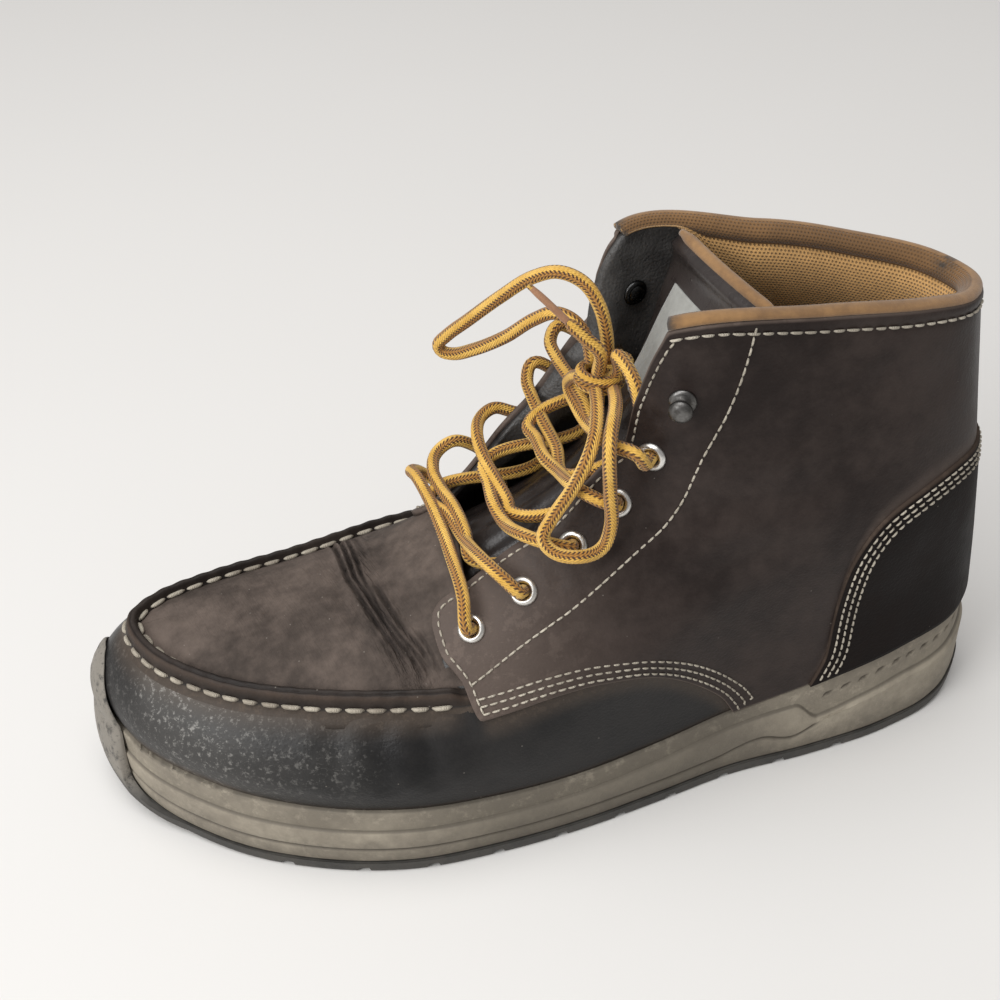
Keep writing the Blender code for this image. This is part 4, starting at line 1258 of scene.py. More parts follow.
# Its edge colour serves the rubbed edges and the painted sheen on the quarter's front
QUARTER_LEATHER = Leather(
    "quarter", (0.0165, 0.0108, 0.0094), (0.046, 0.0338, 0.0294), edge=(0.145, 0.112, 0.094), roughness=0.46, shine=0.16
)
COUNTER_LEATHER = Leather(
    "counter", (0.0055, 0.0034, 0.0031), (0.0125, 0.0088, 0.0078), edge=(0.08, 0.058, 0.045), roughness=0.6, shine=0.08
)
SEAM_LEATHER = Leather("seam", (0.0145, 0.011, 0.0093), (0.038, 0.029, 0.024), roughness=0.55, shine=0.2, dust=0.02)
TONGUE_LEATHER = Leather(
    "tongue", (0.016, 0.012, 0.011), (0.036, 0.028, 0.025), roughness=0.26, coat=0.5, shine=0.5
)
FACING_LEATHER = Leather(
    "facing", (0.028, 0.027, 0.0265), (0.08, 0.0775, 0.075), roughness=0.44, shine=0.6, depth=0.32, dust=0.05
)
COLLAR_MESH = MeshFabric("collar_mesh", (0.84, 0.49, 0.185), (0.27, 0.15, 0.055), cell=1.3)
COLLAR_ROLL = MeshFabric("collar_roll", (0.22, 0.115, 0.042), (0.066, 0.033, 0.012), cell=1.2, open=0.6)
TAN_BINDING = Suede("binding", (0.32, 0.175, 0.066), (0.19, 0.1, 0.038))
PALE_LABEL = Suede("label", (0.36, 0.36, 0.335), (0.26, 0.26, 0.24))
FOAM = Rubber(
    "midsole", (0.23, 0.2, 0.155), (0.38, 0.336, 0.264), (0.08, 0.068, 0.052), 0.75, 0, 0.02, streak=0.3
)
# Its third colour is dust near the ground and the painted light on the toe bumper's face
TREAD = Rubber(
    "outsole", (0.03, 0.0285, 0.026), (0.078, 0.072, 0.063), (0.23, 0.209, 0.178), 0.66, -0.01, 0.003, streak=0.25
)
SILVER = Metal("eyelet", (0.9, 0.89, 0.87), (0.62, 0.6, 0.56), 0.24)
PEWTER = Metal("stud", (0.2, 0.196, 0.19), (0.06, 0.056, 0.052), 0.32)
BLACK_METAL = Metal("rivet", (0.07, 0.07, 0.07), (0.02, 0.02, 0.02), 0.22)
GOLD_BRAID = Braid("lace", (0.66, 0.36, 0.045), (0.9, 0.56, 0.12), (0.06, 0.022, 0.01), (0.36, 0.14, 0.022))
AGLET_FILM = Suede("aglet", (0.42, 0.22, 0.12), (0.27, 0.13, 0.07))
CREAM_THREAD = Thread("thread", (0.56, 0.51, 0.42), (0.32, 0.285, 0.23))
SOILED_THREAD = Thread("moc_thread", (0.5, 0.455, 0.37), (0.25, 0.215, 0.17))
FOOTBED = Felt("footbed", (0.09, 0.075, 0.062))
TABLE_TOP = Ground("table", (0.785, 0.772, 0.75))


@dataclass
class Studio:
    """Camera at the photograph's angle, soft light and a pale table."""

    eye: tuple[float, float, float] = (205.0, 345.0, 390.0)
    azimuth: float = 172.88
    elevation: float = 39.47
    roll: float = -3.53
    focal_pixels: float = 1400.0
    picture_pixels: float = 1000.0
    floor_reach: float = 4.0

    def build(self) -> None:
        """Make camera, lights and floor."""
        self.camera()
        self.floor()
        self.light("overhead", (0.45, 0.2, 2.1), 1.9, 35)
        self.light("window", (1.3, 0.8, 0.95), 0.9, 16)
        world = bpy.data.worlds.new("room")
        world.use_nodes = True
        sky = world.node_tree.nodes["Background"]
        sky.inputs["Color"].default_value = (0.9, 0.88, 0.87, 1)
        sky.inputs["Strength"].default_value = 0.36
        bpy.context.scene.world = world
        bpy.context.scene.view_settings.view_transform = "Standard"

    def camera(self) -> None:
        """Place the camera."""
        a, e, r = np.radians([self.azimuth, self.elevation, self.roll])
        back = np.array([math.sin(a) * math.cos(e), -math.cos(a) * math.cos(e), math.sin(e)])
        right = unit(np.cross(-back, [0, 0, 1]))
        up = np.cross(right, -back)
        right, up = math.cos(r) * right + math.sin(r) * up, -math.sin(r) * right + math.cos(r) * up
        data = bpy.data.cameras.new("view")
        data.sensor_width = 36
        data.lens = self.focal_pixels / self.picture_pixels * data.sensor_width
        data.clip_start = 0.01
        made = linked("view", data)
        turn = Matrix(np.stack([right, up, back], -1).tolist()).to_4x4()
        made.matrix_world = Matrix.Translation(to_row(np.array(self.eye))[0]) @ turn
        bpy.context.scene.camera = made

    def light(self, name: str, place: tuple[float, float, float], size: float, power: float) -> None:
        """Hang a soft square light that faces the boot.

        Args:
            name: Name of the light.
            place: Where it hangs, in metres.
            size: Side of the square.
            power: Power in watts.
        """
        data = bpy.data.lights.new(name, "AREA")
        data.size = size
        data.energy = power
        made = linked(name, data)
        made.location = place
        made.rotation_euler = (-Vector(place) + Vector((0, 0, 0.08))).to_track_quat("-Z", "Y").to_euler()

    def floor(self) -> None:
        """Lay the table top."""
        side = np.linspace(-self.floor_reach, self.floor_reach, 9)
        mesh = bpy.data.meshes.new("table")
        mesh.from_pydata([(x, y, 0) for y in side for x in side], [], grid_faces(9, 9))
        mesh.materials.append(TABLE_TOP.material())
        linked("table", mesh)


@dataclass
class Lacing:
    """One braided lace: run through the eyelets, then tied in a bow."""

    last: Last
    thick: float = 4.2
    spacing: float = 1.1
    sides: int = 14
    inside: float = 6.5
    aglet_share: float = 0.56
    aglet_radius: float = 1.15
    knot_radius: float = 1.75
    # Strands across the throat in boot millimetres, in the order of the run from the knot and back to it. Each row
    # names the eyelet that the strand leaves or reaches at its start and at its end, with the points between.
    RUN = (
        (None, (
            (134.2, -2.6, 146.3), (136, -8, 142), (136.6, -11, 137), (135.6, -3, 134.1), (134.1, 6, 133.4),
            (132.6, 17, 137), (131.2, 30.6, 143), (126.2, 36, 143.2),
        ), (Side.LATERAL, 5)),
        (None, (
            (143.2, 13.5, 121.3), (143, 0, 121.5), (144.5, -12, 122.5), (146.3, -24, 125.2), (146.8, -30, 128),
            (144.4, -33, 132.1), (138, -34, 128.5),
        ), (Side.MEDIAL, 4)),
        (None, (
            (164.5, -12, 110.5), (164.9, -2, 109), (164.9, 8, 108.6), (162.9, 17, 108.3), (158.8, 27.8, 111.8),
            (152.5, 33.4, 112.1),
        ), (Side.LATERAL, 3)),
        (None, (
            (174, 16, 94.5), (174.5, 7, 98), (176.4, -4, 99.8), (179.5, -15, 100.2), (180.9, -23, 101.6),
            (178.4, -31, 102.7), (172.5, -33, 104.9), (165.9, -34.5, 101),
        ), (Side.MEDIAL, 2)),
        ((Side.LATERAL, 1), (
            (179.1, 31.8, 93.2), (180.2, 15, 95), (181.9, 0, 97), (184.1, -13, 98.5), (186.7, -24, 99.3),
            (187.9, -30, 97), (184.5, -36.5, 91),
        ), (Side.MEDIAL, 1)),
        ((Side.LATERAL, 2), (
            (166.2, 35.4, 101.3), (171.4, 25.8, 102.1), (175.3, 9, 97.2), (178.6, -4, 97), (183.2, -15, 97.5),
        ), None),
        ((Side.MEDIAL, 3), (
            (152.9, -33.5, 114), (157.9, -33, 116.3), (162.8, -30, 115.5), (165.4, -22, 114.7), (164.9, -13, 112.3),
            (162.7, -3, 110.4), (160.4, 7, 108.6), (159.9, 11.5, 107.6),
        ), None),
        ((Side.LATERAL, 4), (
            (137, 33.8, 126.5), (142, 28.4, 127.2), (144.9, 12, 121.8), (147.6, 4, 121.5), (148.3, -6, 121.5),
            (149.4, -14, 122),
        ), None),
        ((Side.MEDIAL, 5), (
            (130, -34.5, 142), (135.8, -33, 145.2), (138.6, -30.5, 141.6), (137.7, -25, 138.8), (135.5, -14, 137.6),
            (133.3, -2, 136.3), (132.5, 7, 134.8), (131.2, 6.5, 140.5), (130.2, 3.2, 145.2),
        ), None),
    )
    LOOP_UPPER = (
        (126.8, 1, 152.4), (126.9, 0, 161.2), (128.5, -3, 170), (132.1, -7, 175.7), (138.5, -11, 178),
        (145.8, -16, 174.5), (155.3, -22, 165.4), (165, -28, 154.9), (172, -32.1, 147.4), (174.5, -33.2, 143.9),
        (173.8, -33, 141.6), (170.6, -31, 141.2), (164.5, -27, 144.3), (154.7, -20, 152.1), (146.2, -13, 161.7),
        (140.6, -8, 166), (135.6, -4, 164.6), (132.2, -1.5, 158.3), (131.6, -0.2, 152.4),
    )
    LOOP_LOWER = (
        (131.4, 4.8, 146.4), (134, 19, 145), (138.5, 30, 141.5), (144.6, 32.6, 130.8), (151.5, 35, 122.4),
        (154.4, 37, 117.6), (152.2, 39.8, 114.3), (145.4, 42.8, 113.4), (137.6, 40.2, 112.9), (134.6, 39.4, 119.6),
        (134.6, 39, 133.5), (134.2, 36.4, 147.6), (128.6, 19.6, 149), (126, 6, 145.8),
    )
    END_UPPER = (
        (130.6, 4.9, 151.4), (130.4, 6.4, 159.8), (134.5, 5, 164.4), (139.1, 3, 169.4), (144.5, 1, 175.4),
        (149.7, -2, 180.5),
    )
    END_NEAR = (
        (127.2, 4.4, 147.6), (124.4, 5.2, 151.1), (125.2, 7.5, 158.4), (124.3, 11, 158.4), (122.9, 15.5, 156.3),
        (122.2, 18.6, 153.9), (121.8, 21.5, 149.6), (121.2, 23.4, 144.2),
    )
    KNOT_AXIS = ((130.4, 0.4, 141.6), (128.2, 2.2, 153.2))
    KNOT_TURNS = 2.1
    KNOT_REACH = (6.2, 5)
    KNOT_RISE = 6.4

    # How far the lace stands out at points on its way through an eyelet, after its place inside
    LEAVING = (-0.8, 3.4, 6.4)

    def build(self) -> None:
        """Make the run, knot, loops and ends."""
        crossings = [f"lace_crossing_{k}" for k in range(1, 5)]
        self.cord("lace_run", self.run_points(), crossings)
        self.cord("lace_knot_wrap", self.knot_points(), ["lace_knot"], radius=self.knot_radius)
        for name, route, node, far_end in (
            ("lace_loop_high", self.LOOP_UPPER, "lace_loop_upper", "knot"),
            ("lace_loop_low", self.LOOP_LOWER, "lace_loop_lower", "knot"),
            ("lace_tail_near", self.END_NEAR, "lace_end_near", "bare"),
        ):
            self.cord(name, smooth_path(route, self.spacing), [node])
        self.aglet_end()

    def through(self, place: tuple[Side, int] | None) -> list[Array]:
        """Find the way from inside the boot out through an eyelet.

        Args:
            place: Side and number of the eyelet, or None.

        Returns:
            Points on the way, none without an eyelet.
        """
        if place is None:
            return []
        seat, axis = self.last.seat(EYELETS[place[1] - 1], place[0])
        return [seat + axis * rise for rise in (-self.inside, *self.LEAVING)]

    def run_points(self) -> Array:
        """Lead the lace from the knot down through the eyelets and back up.

        Returns:
            Centre line of the run.
        """
        route: list[Array] = []
        for start, points, end in self.RUN:
            route += self.through(start)
            route += [np.array(p, float) for p in points]
            route += self.through(end)[::-1]
        return smooth_path(route, self.spacing)

    def knot_points(self) -> Array:
        """Wind the knot round the strands.

        Returns:
            Centre line of its turns.
        """
        low, high = (np.array(p, float) for p in self.KNOT_AXIS)
        axis = unit(high - low)
        side = unit(np.cross(axis, [0, 1, 0.4]))
        front = np.cross(axis, side)
        turn = np.linspace(0, 2 * math.pi * self.KNOT_TURNS, 90)
        rise = (turn / turn[-1] - 0.5) * self.KNOT_RISE
        middle = (low + high) / 2
        wide, deep = self.KNOT_REACH
        ring = side * wide * np.cos(turn)[:, None] + front * deep * np.sin(turn)[:, None]
        return even(middle + ring + axis * rise[:, None], self.spacing)

    def cord(
        self, name: str, path: Array, nodes: list[str], radius: float | Array = 0.0,
    ) -> None:
        """Args:
            name: Name of the piece.
            path: Its centre line.
            nodes: Solids that it stands for.
            radius: Radius where it isn't the lace's own.
        """
        size = radius if np.any(radius) else self.thick / 2
        made = as_object(name, tube(path, size, self.sides))
        dress(made, Slot.LACE, nodes, GOLD_BRAID)

    def aglet_end(self) -> None:
        """Tail of the lace that ends in its thin aglet."""
        path = smooth_path(self.END_UPPER, self.spacing)
        share = np.linspace(0, 1, len(path))
        radius = self.thick / 2 + (self.aglet_radius * 0.8 - self.thick / 2) * ease(
            share, self.aglet_share - 0.04, self.aglet_share + 0.05
        )
        tip = path[share > self.aglet_share]
        film = tube(tip, self.aglet_radius * (1 - 0.25 * ease(np.linspace(0, 1, len(tip)), 0.7, 1)), 12)
        aglet = dress(as_object("lace_aglet", film), None, [], AGLET_FILM)
        self.cord("lace_tail_high", path, ["lace_end_upper"], radius=radius)


@dataclass(frozen=True)
class Stitch:
    """Sizes of a row of stitches: distance from one to the next, length, thread radius and place of the first."""

    pitch: float
    length: float
    radius: float
    start: float = 0.0


PANEL_STITCH = Stitch(3.1, 2.3, 0.36)
EDGE_STITCH = Stitch(3.1, 2.3, 0.35)
EYESTAY_STITCH = Stitch(3.1, 2.6, 0.36)
COLLAR_STITCH = Stitch(4.4, 3.5, 0.44)


@dataclass
class Stitcher:
    """Lays rows of stitches along lines on the leather."""

    last: Last
    rings: int = 6
    sides: int = 7

    def row(self, line: Array, lift: float, stitch: Stitch) -> Surface:
        """Stitches along a line of station and height.

        Args:
            line: Rows of station and height.
            lift: Offset of the leather's face from the last.
            stitch: Sizes of the stitches.

        Returns:
            All the stitches as one surface.
        """
        places = self.last.skin(line[:, 0], line[:, 1], lift)
        normals = self.last.normal(line[:, 0], line[:, 1])
        return self.along(places, normals, stitch)

    def along(self, places: Array, normals: Array, stitch: Stitch) -> Surface:
        """Stitches along points.

        Args:
            places: Points on the leather's face.
            normals: Its normals there.
            stitch: Sizes of the stitches.

        Returns:
            All the stitches as one surface.
        """
        along = distances(places)
        shape = np.linspace(-0.5, 0.5, self.rings)
        swell = 1 - (2 * np.abs(shape)) ** 4
        length, radius = stitch.length, stitch.radius
        parts = []
        for number, centre in enumerate(np.arange(stitch.start + length / 2, along[-1] - length / 2, stitch.pitch)):
            sway = 0.06 * math.sin(number * 2.4)
            read = centre + shape * length * (1 + 0.12 * math.sin(number * 1.7))
            path = reread(read, along, places)
            up = unit(reread(read, along, normals))
            side = np.cross(up, unit(np.gradient(path, axis=0)))
            path = path + up * (radius * (swell - 0.35))[:, None] + side * (sway * shape)[:, None]
            parts.append(tube(path, radius * (0.55 + 0.45 * swell), self.sides))
        return joined(parts)


@dataclass
class Upper:
    """Vamp round the foot, apron on top and the shaft's inner wall."""

    last: Last
    vamp_end: float = 8.6
    apron_end: float = 4.95
    vamp_rows: int = 44
    apron_columns: int = 141
    CREASES = (
        Crease(1.5, 0.75, (
            ((-3.44, 0.5), (-3.47, 0.72), (-3.48, 0.85), (-3.5, 1)),
            ((3.5, 1), (3.58, 0.95), (3.77, 0.8), (3.93, 0.7), (4.08, 0.61), (4.16, 0.53)),
        ), 0.2),
        Crease(1.8, 0.7, (
            ((-3.53, 0.5), (-3.56, 0.72), (-3.57, 0.85), (-3.59, 1)),
            ((3.59, 1), (3.76, 0.88), (3.91, 0.76), (4.04, 0.68), (4.23, 0.59), (4.33, 0.5)),
        ), 0.2),
        Crease(1.2, 0.6, (
            ((-3.62, 0.56), (-3.64, 0.72), (-3.66, 0.85), (-3.68, 1)),
            ((3.68, 1), (3.86, 0.835), (4.01, 0.73), (4.22, 0.63), (4.44, 0.52)),
        ), 0.2),
        Crease(0.9, 0.6, (((3.84, 0.95), (4, 0.81), (4.14, 0.71), (4.34, 0.62), (4.5, 0.53)),), 0.2),
        Crease(0.6, 0.45, (((3.7, 0.79), (3.86, 0.69), (3.98, 0.61), (4.06, 0.53)),), 0.2),
        Crease(0.6, 0.45, (((3.82, 0.84), (3.97, 0.72), (4.13, 0.635), (4.28, 0.56), (4.36, 0.5)),), 0.2),
        Crease(0.6, 0.45, (((3.95, 0.79), (4.1, 0.68), (4.3, 0.585), (4.42, 0.52)),), 0.2),
        Crease(0.6, 0.45, (((4.16, 0.66), (4.3, 0.6), (4.45, 0.53)),), 0.2),
        Crease(0.7, 0.5, (((4.3, 0.69), (4.44, 0.61), (4.56, 0.52)),), 0.2),
        Crease(0.5, 0.7, (((-3.72, 0.6), (-3.76, 0.74), (-3.8, 0.9)),), 0.2),
        Crease(0.6, 3, (((-3.36, 0.55), (-3.36, 0.75), (-3.38, 1)), ((3.38, 1), (3.52, 0.82), (3.68, 0.7))), 0.2),
        Crease(0.5, 2.4, (((4.06, 0.97), (4.26, 0.84), (4.46, 0.73)),), 0.2),
    )
    DENTS = (
        Crease(0.8, 5, (((3.26, 0.42), (3.36, 0.3), (3.39, 0.1)),)),
        Crease(0.9, 4.5, (((3.72, 0.4), (3.77, 0.25), (3.8, 0.1)),)),
        Crease(0.7, 4, (((4.2, 0.4), (4.3, 0.27), (4.35, 0.1)),)),
        Crease(0.6, 5, (((4.9, 0.3), (4.95, 0.18), (5, 0.05)),)),
        Crease(0.8, 5, (((-3.4, 0.4), (-3.5, 0.25), (-3.55, 0.08)),)),
        Crease(0.8, 4.5, (((-4.1, 0.38), (-4.2, 0.25), (-4.25, 0.08)),)),
    )
    # Rubbed places on the vamp, each with painted sheen: station, height, reach in millimetres and strength
    # The last three, broad ones are mostly painted sheen on the outer side behind the toe
    RUBS_AND_SHEEN = ((1.12, 0.47, 6, 0.6), (1.4, 0.44, 6, 0.55), (1.7, 0.39, 7, 0.4), (2.05, 0.32, 9, 0.25),
            (0.2, 0.35, 12, 0.2), (3.5, 0.27, 7, 0.12), (-1.2, 0.42, 10, 0.3), (-2.6, 0.35, 14, 0.14),
            (1.6, 0.28, 24, 0.7), (2.5, 0.25, 20, 0.45), (3.3, 0.24, 12, 0.3))
    # Top of the vamp where the quarter hides it, by station
    VAMP_BEHIND = (
        (4.5, 0.41), (5, 0.44), (5.54, 0.43), (6.03, 0.42), (6.54, 0.38), (7.11, 0.31), (7.54, 0.23), (7.88, 0.15),
        (8.6, 0.09),
    )

    def build(self) -> None:
        """Make the three pieces that stand for the upper."""
        self.vamp()
        self.apron()
        self.shaft()

    def vamp_top(self, station: Array) -> Array:
        """Find the top of the vamp: the seam in front, hidden under the quarter behind.

        Args:
            station: Stations.

        Returns:
            Height at each of them.
        """
        place = np.abs(station)
        share = ease(place, 4.35, 4.7)
        return self.last.seam(station) * (1 - share) + smooth(self.VAMP_BEHIND)(place) * share

    def vamp(self) -> None:
        """Polished wall round the toe and sides."""
        end = self.vamp_end
        stations = np.concatenate(
            [np.linspace(-end, -5.2, 70, endpoint=False), np.linspace(-5.2, 5.2, 330), np.linspace(5.2, end, 71)[1:]]
        )
        share = np.linspace(0, 1, self.vamp_rows)[:, None]
        height = share * self.vamp_top(stations)[None]
        base = self.last.wall(stations, height)
        offset = np.zeros(height.shape)
        for dent in self.DENTS:
            offset += dent.press(self.last, base)[0]
        offset *= ease(height, 0, 0.06)
        # Scuffs and painted sheen, summed from the rubbed places
        wear = np.zeros(height.shape)
        for t, h, reach, strength in self.RUBS_AND_SHEEN:
            centre = self.last.wall(np.array([t]), np.array([h]))[0]
            wear += strength * np.exp(-((base - centre) ** 2).sum(-1) / reach**2)
        outer = self.last.skin(stations, height, offset)
        inner = self.last.skin(stations, height, INNER_FACE)
        long = self.last.length(stations)[None]
        place = np.abs(stations)
        toe = ease(place, 0.7, 1) * (1 - ease(place, 2.1, 2.6))
        low = 1 - ease(height * long, 0.3, 2.5 + 4 * toe)
        high = browned((self.last.seam(stations)[None] - height) * long)
        brown = np.maximum((0.35 + 0.45 * toe) * low, high * (1 - ease(place, 4.5, 4.9)))
        behind = np.array([row for row in QUARTER_LOW if row[0] > 4.9])
        under = (smooth(behind)(place) - height) * long
        brown = np.maximum(brown, 0.7 * (1 - ease(under, 1, 10)) * ease(place, 4.9, 5.1))
        made = as_object("vamp", sheet(outer, inner, {"wear": np.clip(wear, 0, 1), "edge": brown}))
        dress(made, Slot.UPPER, ["upper"], VAMP_LEATHER)

    def apron(self) -> None:
        """Napped panel inside the moc seam, creased across where the foot bends."""
        stations = np.r_[
            np.linspace(0, 3.25, 62, endpoint=False), np.linspace(3.25, 4.6, 150, endpoint=False),
            np.linspace(4.6, self.apron_end, 18),
        ]
        half = np.linspace(0, 1, self.apron_columns // 2 + 1)
        across = np.r_[half[::-1], -half[1:]]
        seam = self.last.seam(stations)[:, None] - 0.004
        height = 1 - np.abs(across)[None] * (1 - seam)
        station = stations[:, None] * np.where(across >= 0, 1, -1)[None]
        base = self.last.wall(station, height)
        edge = np.abs(across)[None] * np.ones(height.shape)
        free = ease(1 - edge, 0.03, 0.3) * ease(self.apron_end - np.abs(station), 0, 0.3)
        faces = grid_faces(*base.shape[:2])
        base = relax(base.reshape(-1, 3), faces, 0.6 * free.ravel(), 60).reshape(base.shape)
        normal = self.last.normal(station, np.minimum(height, 0.97))
        offset, crease = np.zeros(height.shape), np.zeros(height.shape)
        for mark in self.CREASES:
            moved, mask = mark.press(self.last, base)
            offset += moved
            crease = np.maximum(crease, mask * min(1, mark.depth / 1.1 / max(1, mark.width / 0.8)))
        offset -= 1.1 * ease(edge, 0.9, 1)
        outer = base + normal * offset[..., None]
        inner = base + normal * INNER_FACE
        # Painted shade: darker in the crease troughs and in the crevice along the lip, wider on the outer side
        shade = np.maximum(crease, np.where(station > 0, ease(edge, 0.93, 0.985), ease(edge, 0.955, 1)))
        place = np.abs(station) - 0.55 * (1 - height) * (station > 0) / 0.45
        fold = np.exp(-(((place - 3.62) / 0.2) ** 2)) + 0.12
        made = as_object("apron", sheet(outer, inner, {"crease": shade, "fold": np.clip(fold, 0, 1)}))
        dress(made, Slot.UPPER, ["upper"], APRON_LEATHER)

    def shaft(self) -> None:
        """Inner wall behind the quarters, open at throat and collar."""
        stations = np.r_[
            np.linspace(4.6, 8.4, 90), np.linspace(8.4, 15.6, 130)[1:-1], np.linspace(15.6, 19.4, 90)
        ]
        folded = np.minimum(stations, STATIONS - stations)
        low = np.interp(folded, (4.6, 5, 7.5, 8.3, 12), (0.5, 0.4, 0.2, 0, 0))
        top = self.last.throat(folded) - 0.6 / self.last.length(stations)
        height = low[None] + np.linspace(0, 1, 60)[:, None] * (top - low)[None]
        outer = self.last.skin(stations, height, -0.05)
        made = as_object("shaft", sheet(outer, self.last.skin(stations, height, -WALL)))
        cut(made, lace_holes(self.last, tuple(Side)))
        dress(made, Slot.UPPER, ["upper"], FACING_LEATHER)


def lace_holes(last: Last, sides: Sequence[Side]) -> Surface:
    """Make cutters for the eyelet and stud holes.

    Args:
        last: Surface that the holes are in.
        sides: Sides of the boot.

    Returns:
        The cutters as one surface.
    """
    tools = []
    for side in sides:
        for place, size in [(eyelet, EYELET_HOLE) for eyelet in EYELETS] + [(STUD, STUD_HOLE)]:
            profile = ((0, -6), (size, -6), (size, 6), (0, 6))
            tools.append(turned(profile, *last.seat(place, side), 20))
    return joined(tools)


def browned(below: Array) -> Array:
    """Share of brown rubbed into the vamp at distances in millimetres below the moc seam."""
    return 0.85 * (1 - ease(below, 2, 12))


@dataclass
class MocSeam:
    """Raised lip round the apron, both leathers turned up and sewn through."""

    last: Last
    stitcher: Stitcher
    end: float = 4.92
    pitch: float = 6.9
    # Section across the lip: distance over the upper from the seam's line, and lift
    SECTION = (
        (-6.8, -0.4), (-5.6, -0.15), (-4.4, 0.06), (-3.3, 0.28), (-2.5, 0.7), (-1.8, 1.5), (-1.1, 2.6), (-0.4, 3.6),
        (0.3, 4.25), (0.9, 4.45), (1.4, 4.35), (1.65, 4), (1.9, 4.3), (2.5, 4.4), (3.1, 4.15), (3.5, 3.6), (3.6, 2.7),
        (3.6, 1.8), (3.65, 0.9), (3.9, 0), (4.2, -0.8), (4.2, -1.6), (-1.5, -1.6), (-6.6, -0.8),
    )
    OUTER_ROW = 5
    INNER_ROW = 18
    GROOVE = 1.65

    def build(self) -> None:
        """Make the lip and its stitches."""
        path = self.last.trace(((-self.end, 0), (0, 0), (self.end, 0)), 0.8)
        stations = path[:, 0]
        seat = self.last.seam(stations)
        long = self.last.length(stations)
        places = self.last.wall(stations, seat)
        along = distances(places)
        spread, lift = np.array(self.SECTION).T
        rise = 1 - 0.88 * ease(np.abs(stations), 4.66, 4.84)
        pucker = 0.5 - 0.5 * np.cos(2 * math.pi * along / self.pitch)
        height = seat[:, None] + spread[None] / long[:, None]
        base = self.last.wall(stations[:, None], height)
        up = unit(self.last.normal(stations, seat) + np.array([0, 0, 1.5]))
        full = np.where(lift > 0.9, 1, 0)
        size = lift[None] * np.where(lift[None] > 0, rise[:, None], 1)
        size = size + 0.3 * full[None] * (pucker - 0.5)[:, None] * rise[:, None]
        points = base + up[:, None] * size[..., None]
        # Painted shade in the groove between the turned-up leathers and in the crevice at the lip's foot
        groove = np.exp(-(((spread - self.GROOVE) / 0.3) ** 2)) * (lift > 2)
        foot = np.exp(-(((spread - 4) / 0.5) ** 2)) * (lift < 1)
        shade = np.broadcast_to(np.maximum(groove, foot), height.shape)
        crest = np.exp(-(((spread - 0.4) / 0.9) ** 2)) * 0.45 + browned(-spread) * (spread < -2.4)
        crest = np.broadcast_to(crest, height.shape)
        count = len(spread)
        faces = grid_faces(len(stations), count, wrap=True)
        last = (len(stations) - 1) * count
        faces += [tuple(range(count)), tuple(range(last, last + count))]
        surface = Surface(points.reshape(-1, 3), faces, {"crease": shade.ravel(), "edge": crest.ravel()})
        surface.patch = np.r_[np.tile(spread < -2.4, len(stations) - 1), [False, False]].astype(int)
        dress(as_object("moc_lip", surface), Slot.SEAM, ["moc_seam"], SEAM_LEATHER, VAMP_LEATHER)
        self.stitches(points, up, stations)

    def stitches(self, points: Array, up: Array, stations: Array) -> None:
        """Sew large stitches through both faces of the lip.

        Args:
            points: Sections of the lip.
            up: Direction in which each stands.
            stations: Station of each.
        """
        rows = []
        keep = slice(8, len(points) - 8)
        for row, start, sunk in ((self.OUTER_ROW, 0.9, 0), (self.INNER_ROW, 4.3, 1.4)):
            face = points[:, row] - up * (sunk * ease(stations, 0.2, 1.5))[:, None]
            normal = unit(np.cross(np.gradient(face, axis=0), points[:, row + 1] - points[:, row - 1]))
            outward = face - points[:, 0] * 0.5 - points[:, -4] * 0.5
            normal *= np.where((normal * outward).sum(-1, keepdims=True) < 0, -1, 1)
            rows.append(self.stitcher.along(face[keep], normal[keep], Stitch(self.pitch, 5.5, 0.8, start)))
        dress(as_object("moc_stitches", joined(rows)), Slot.SEAM, [], SOILED_THREAD)


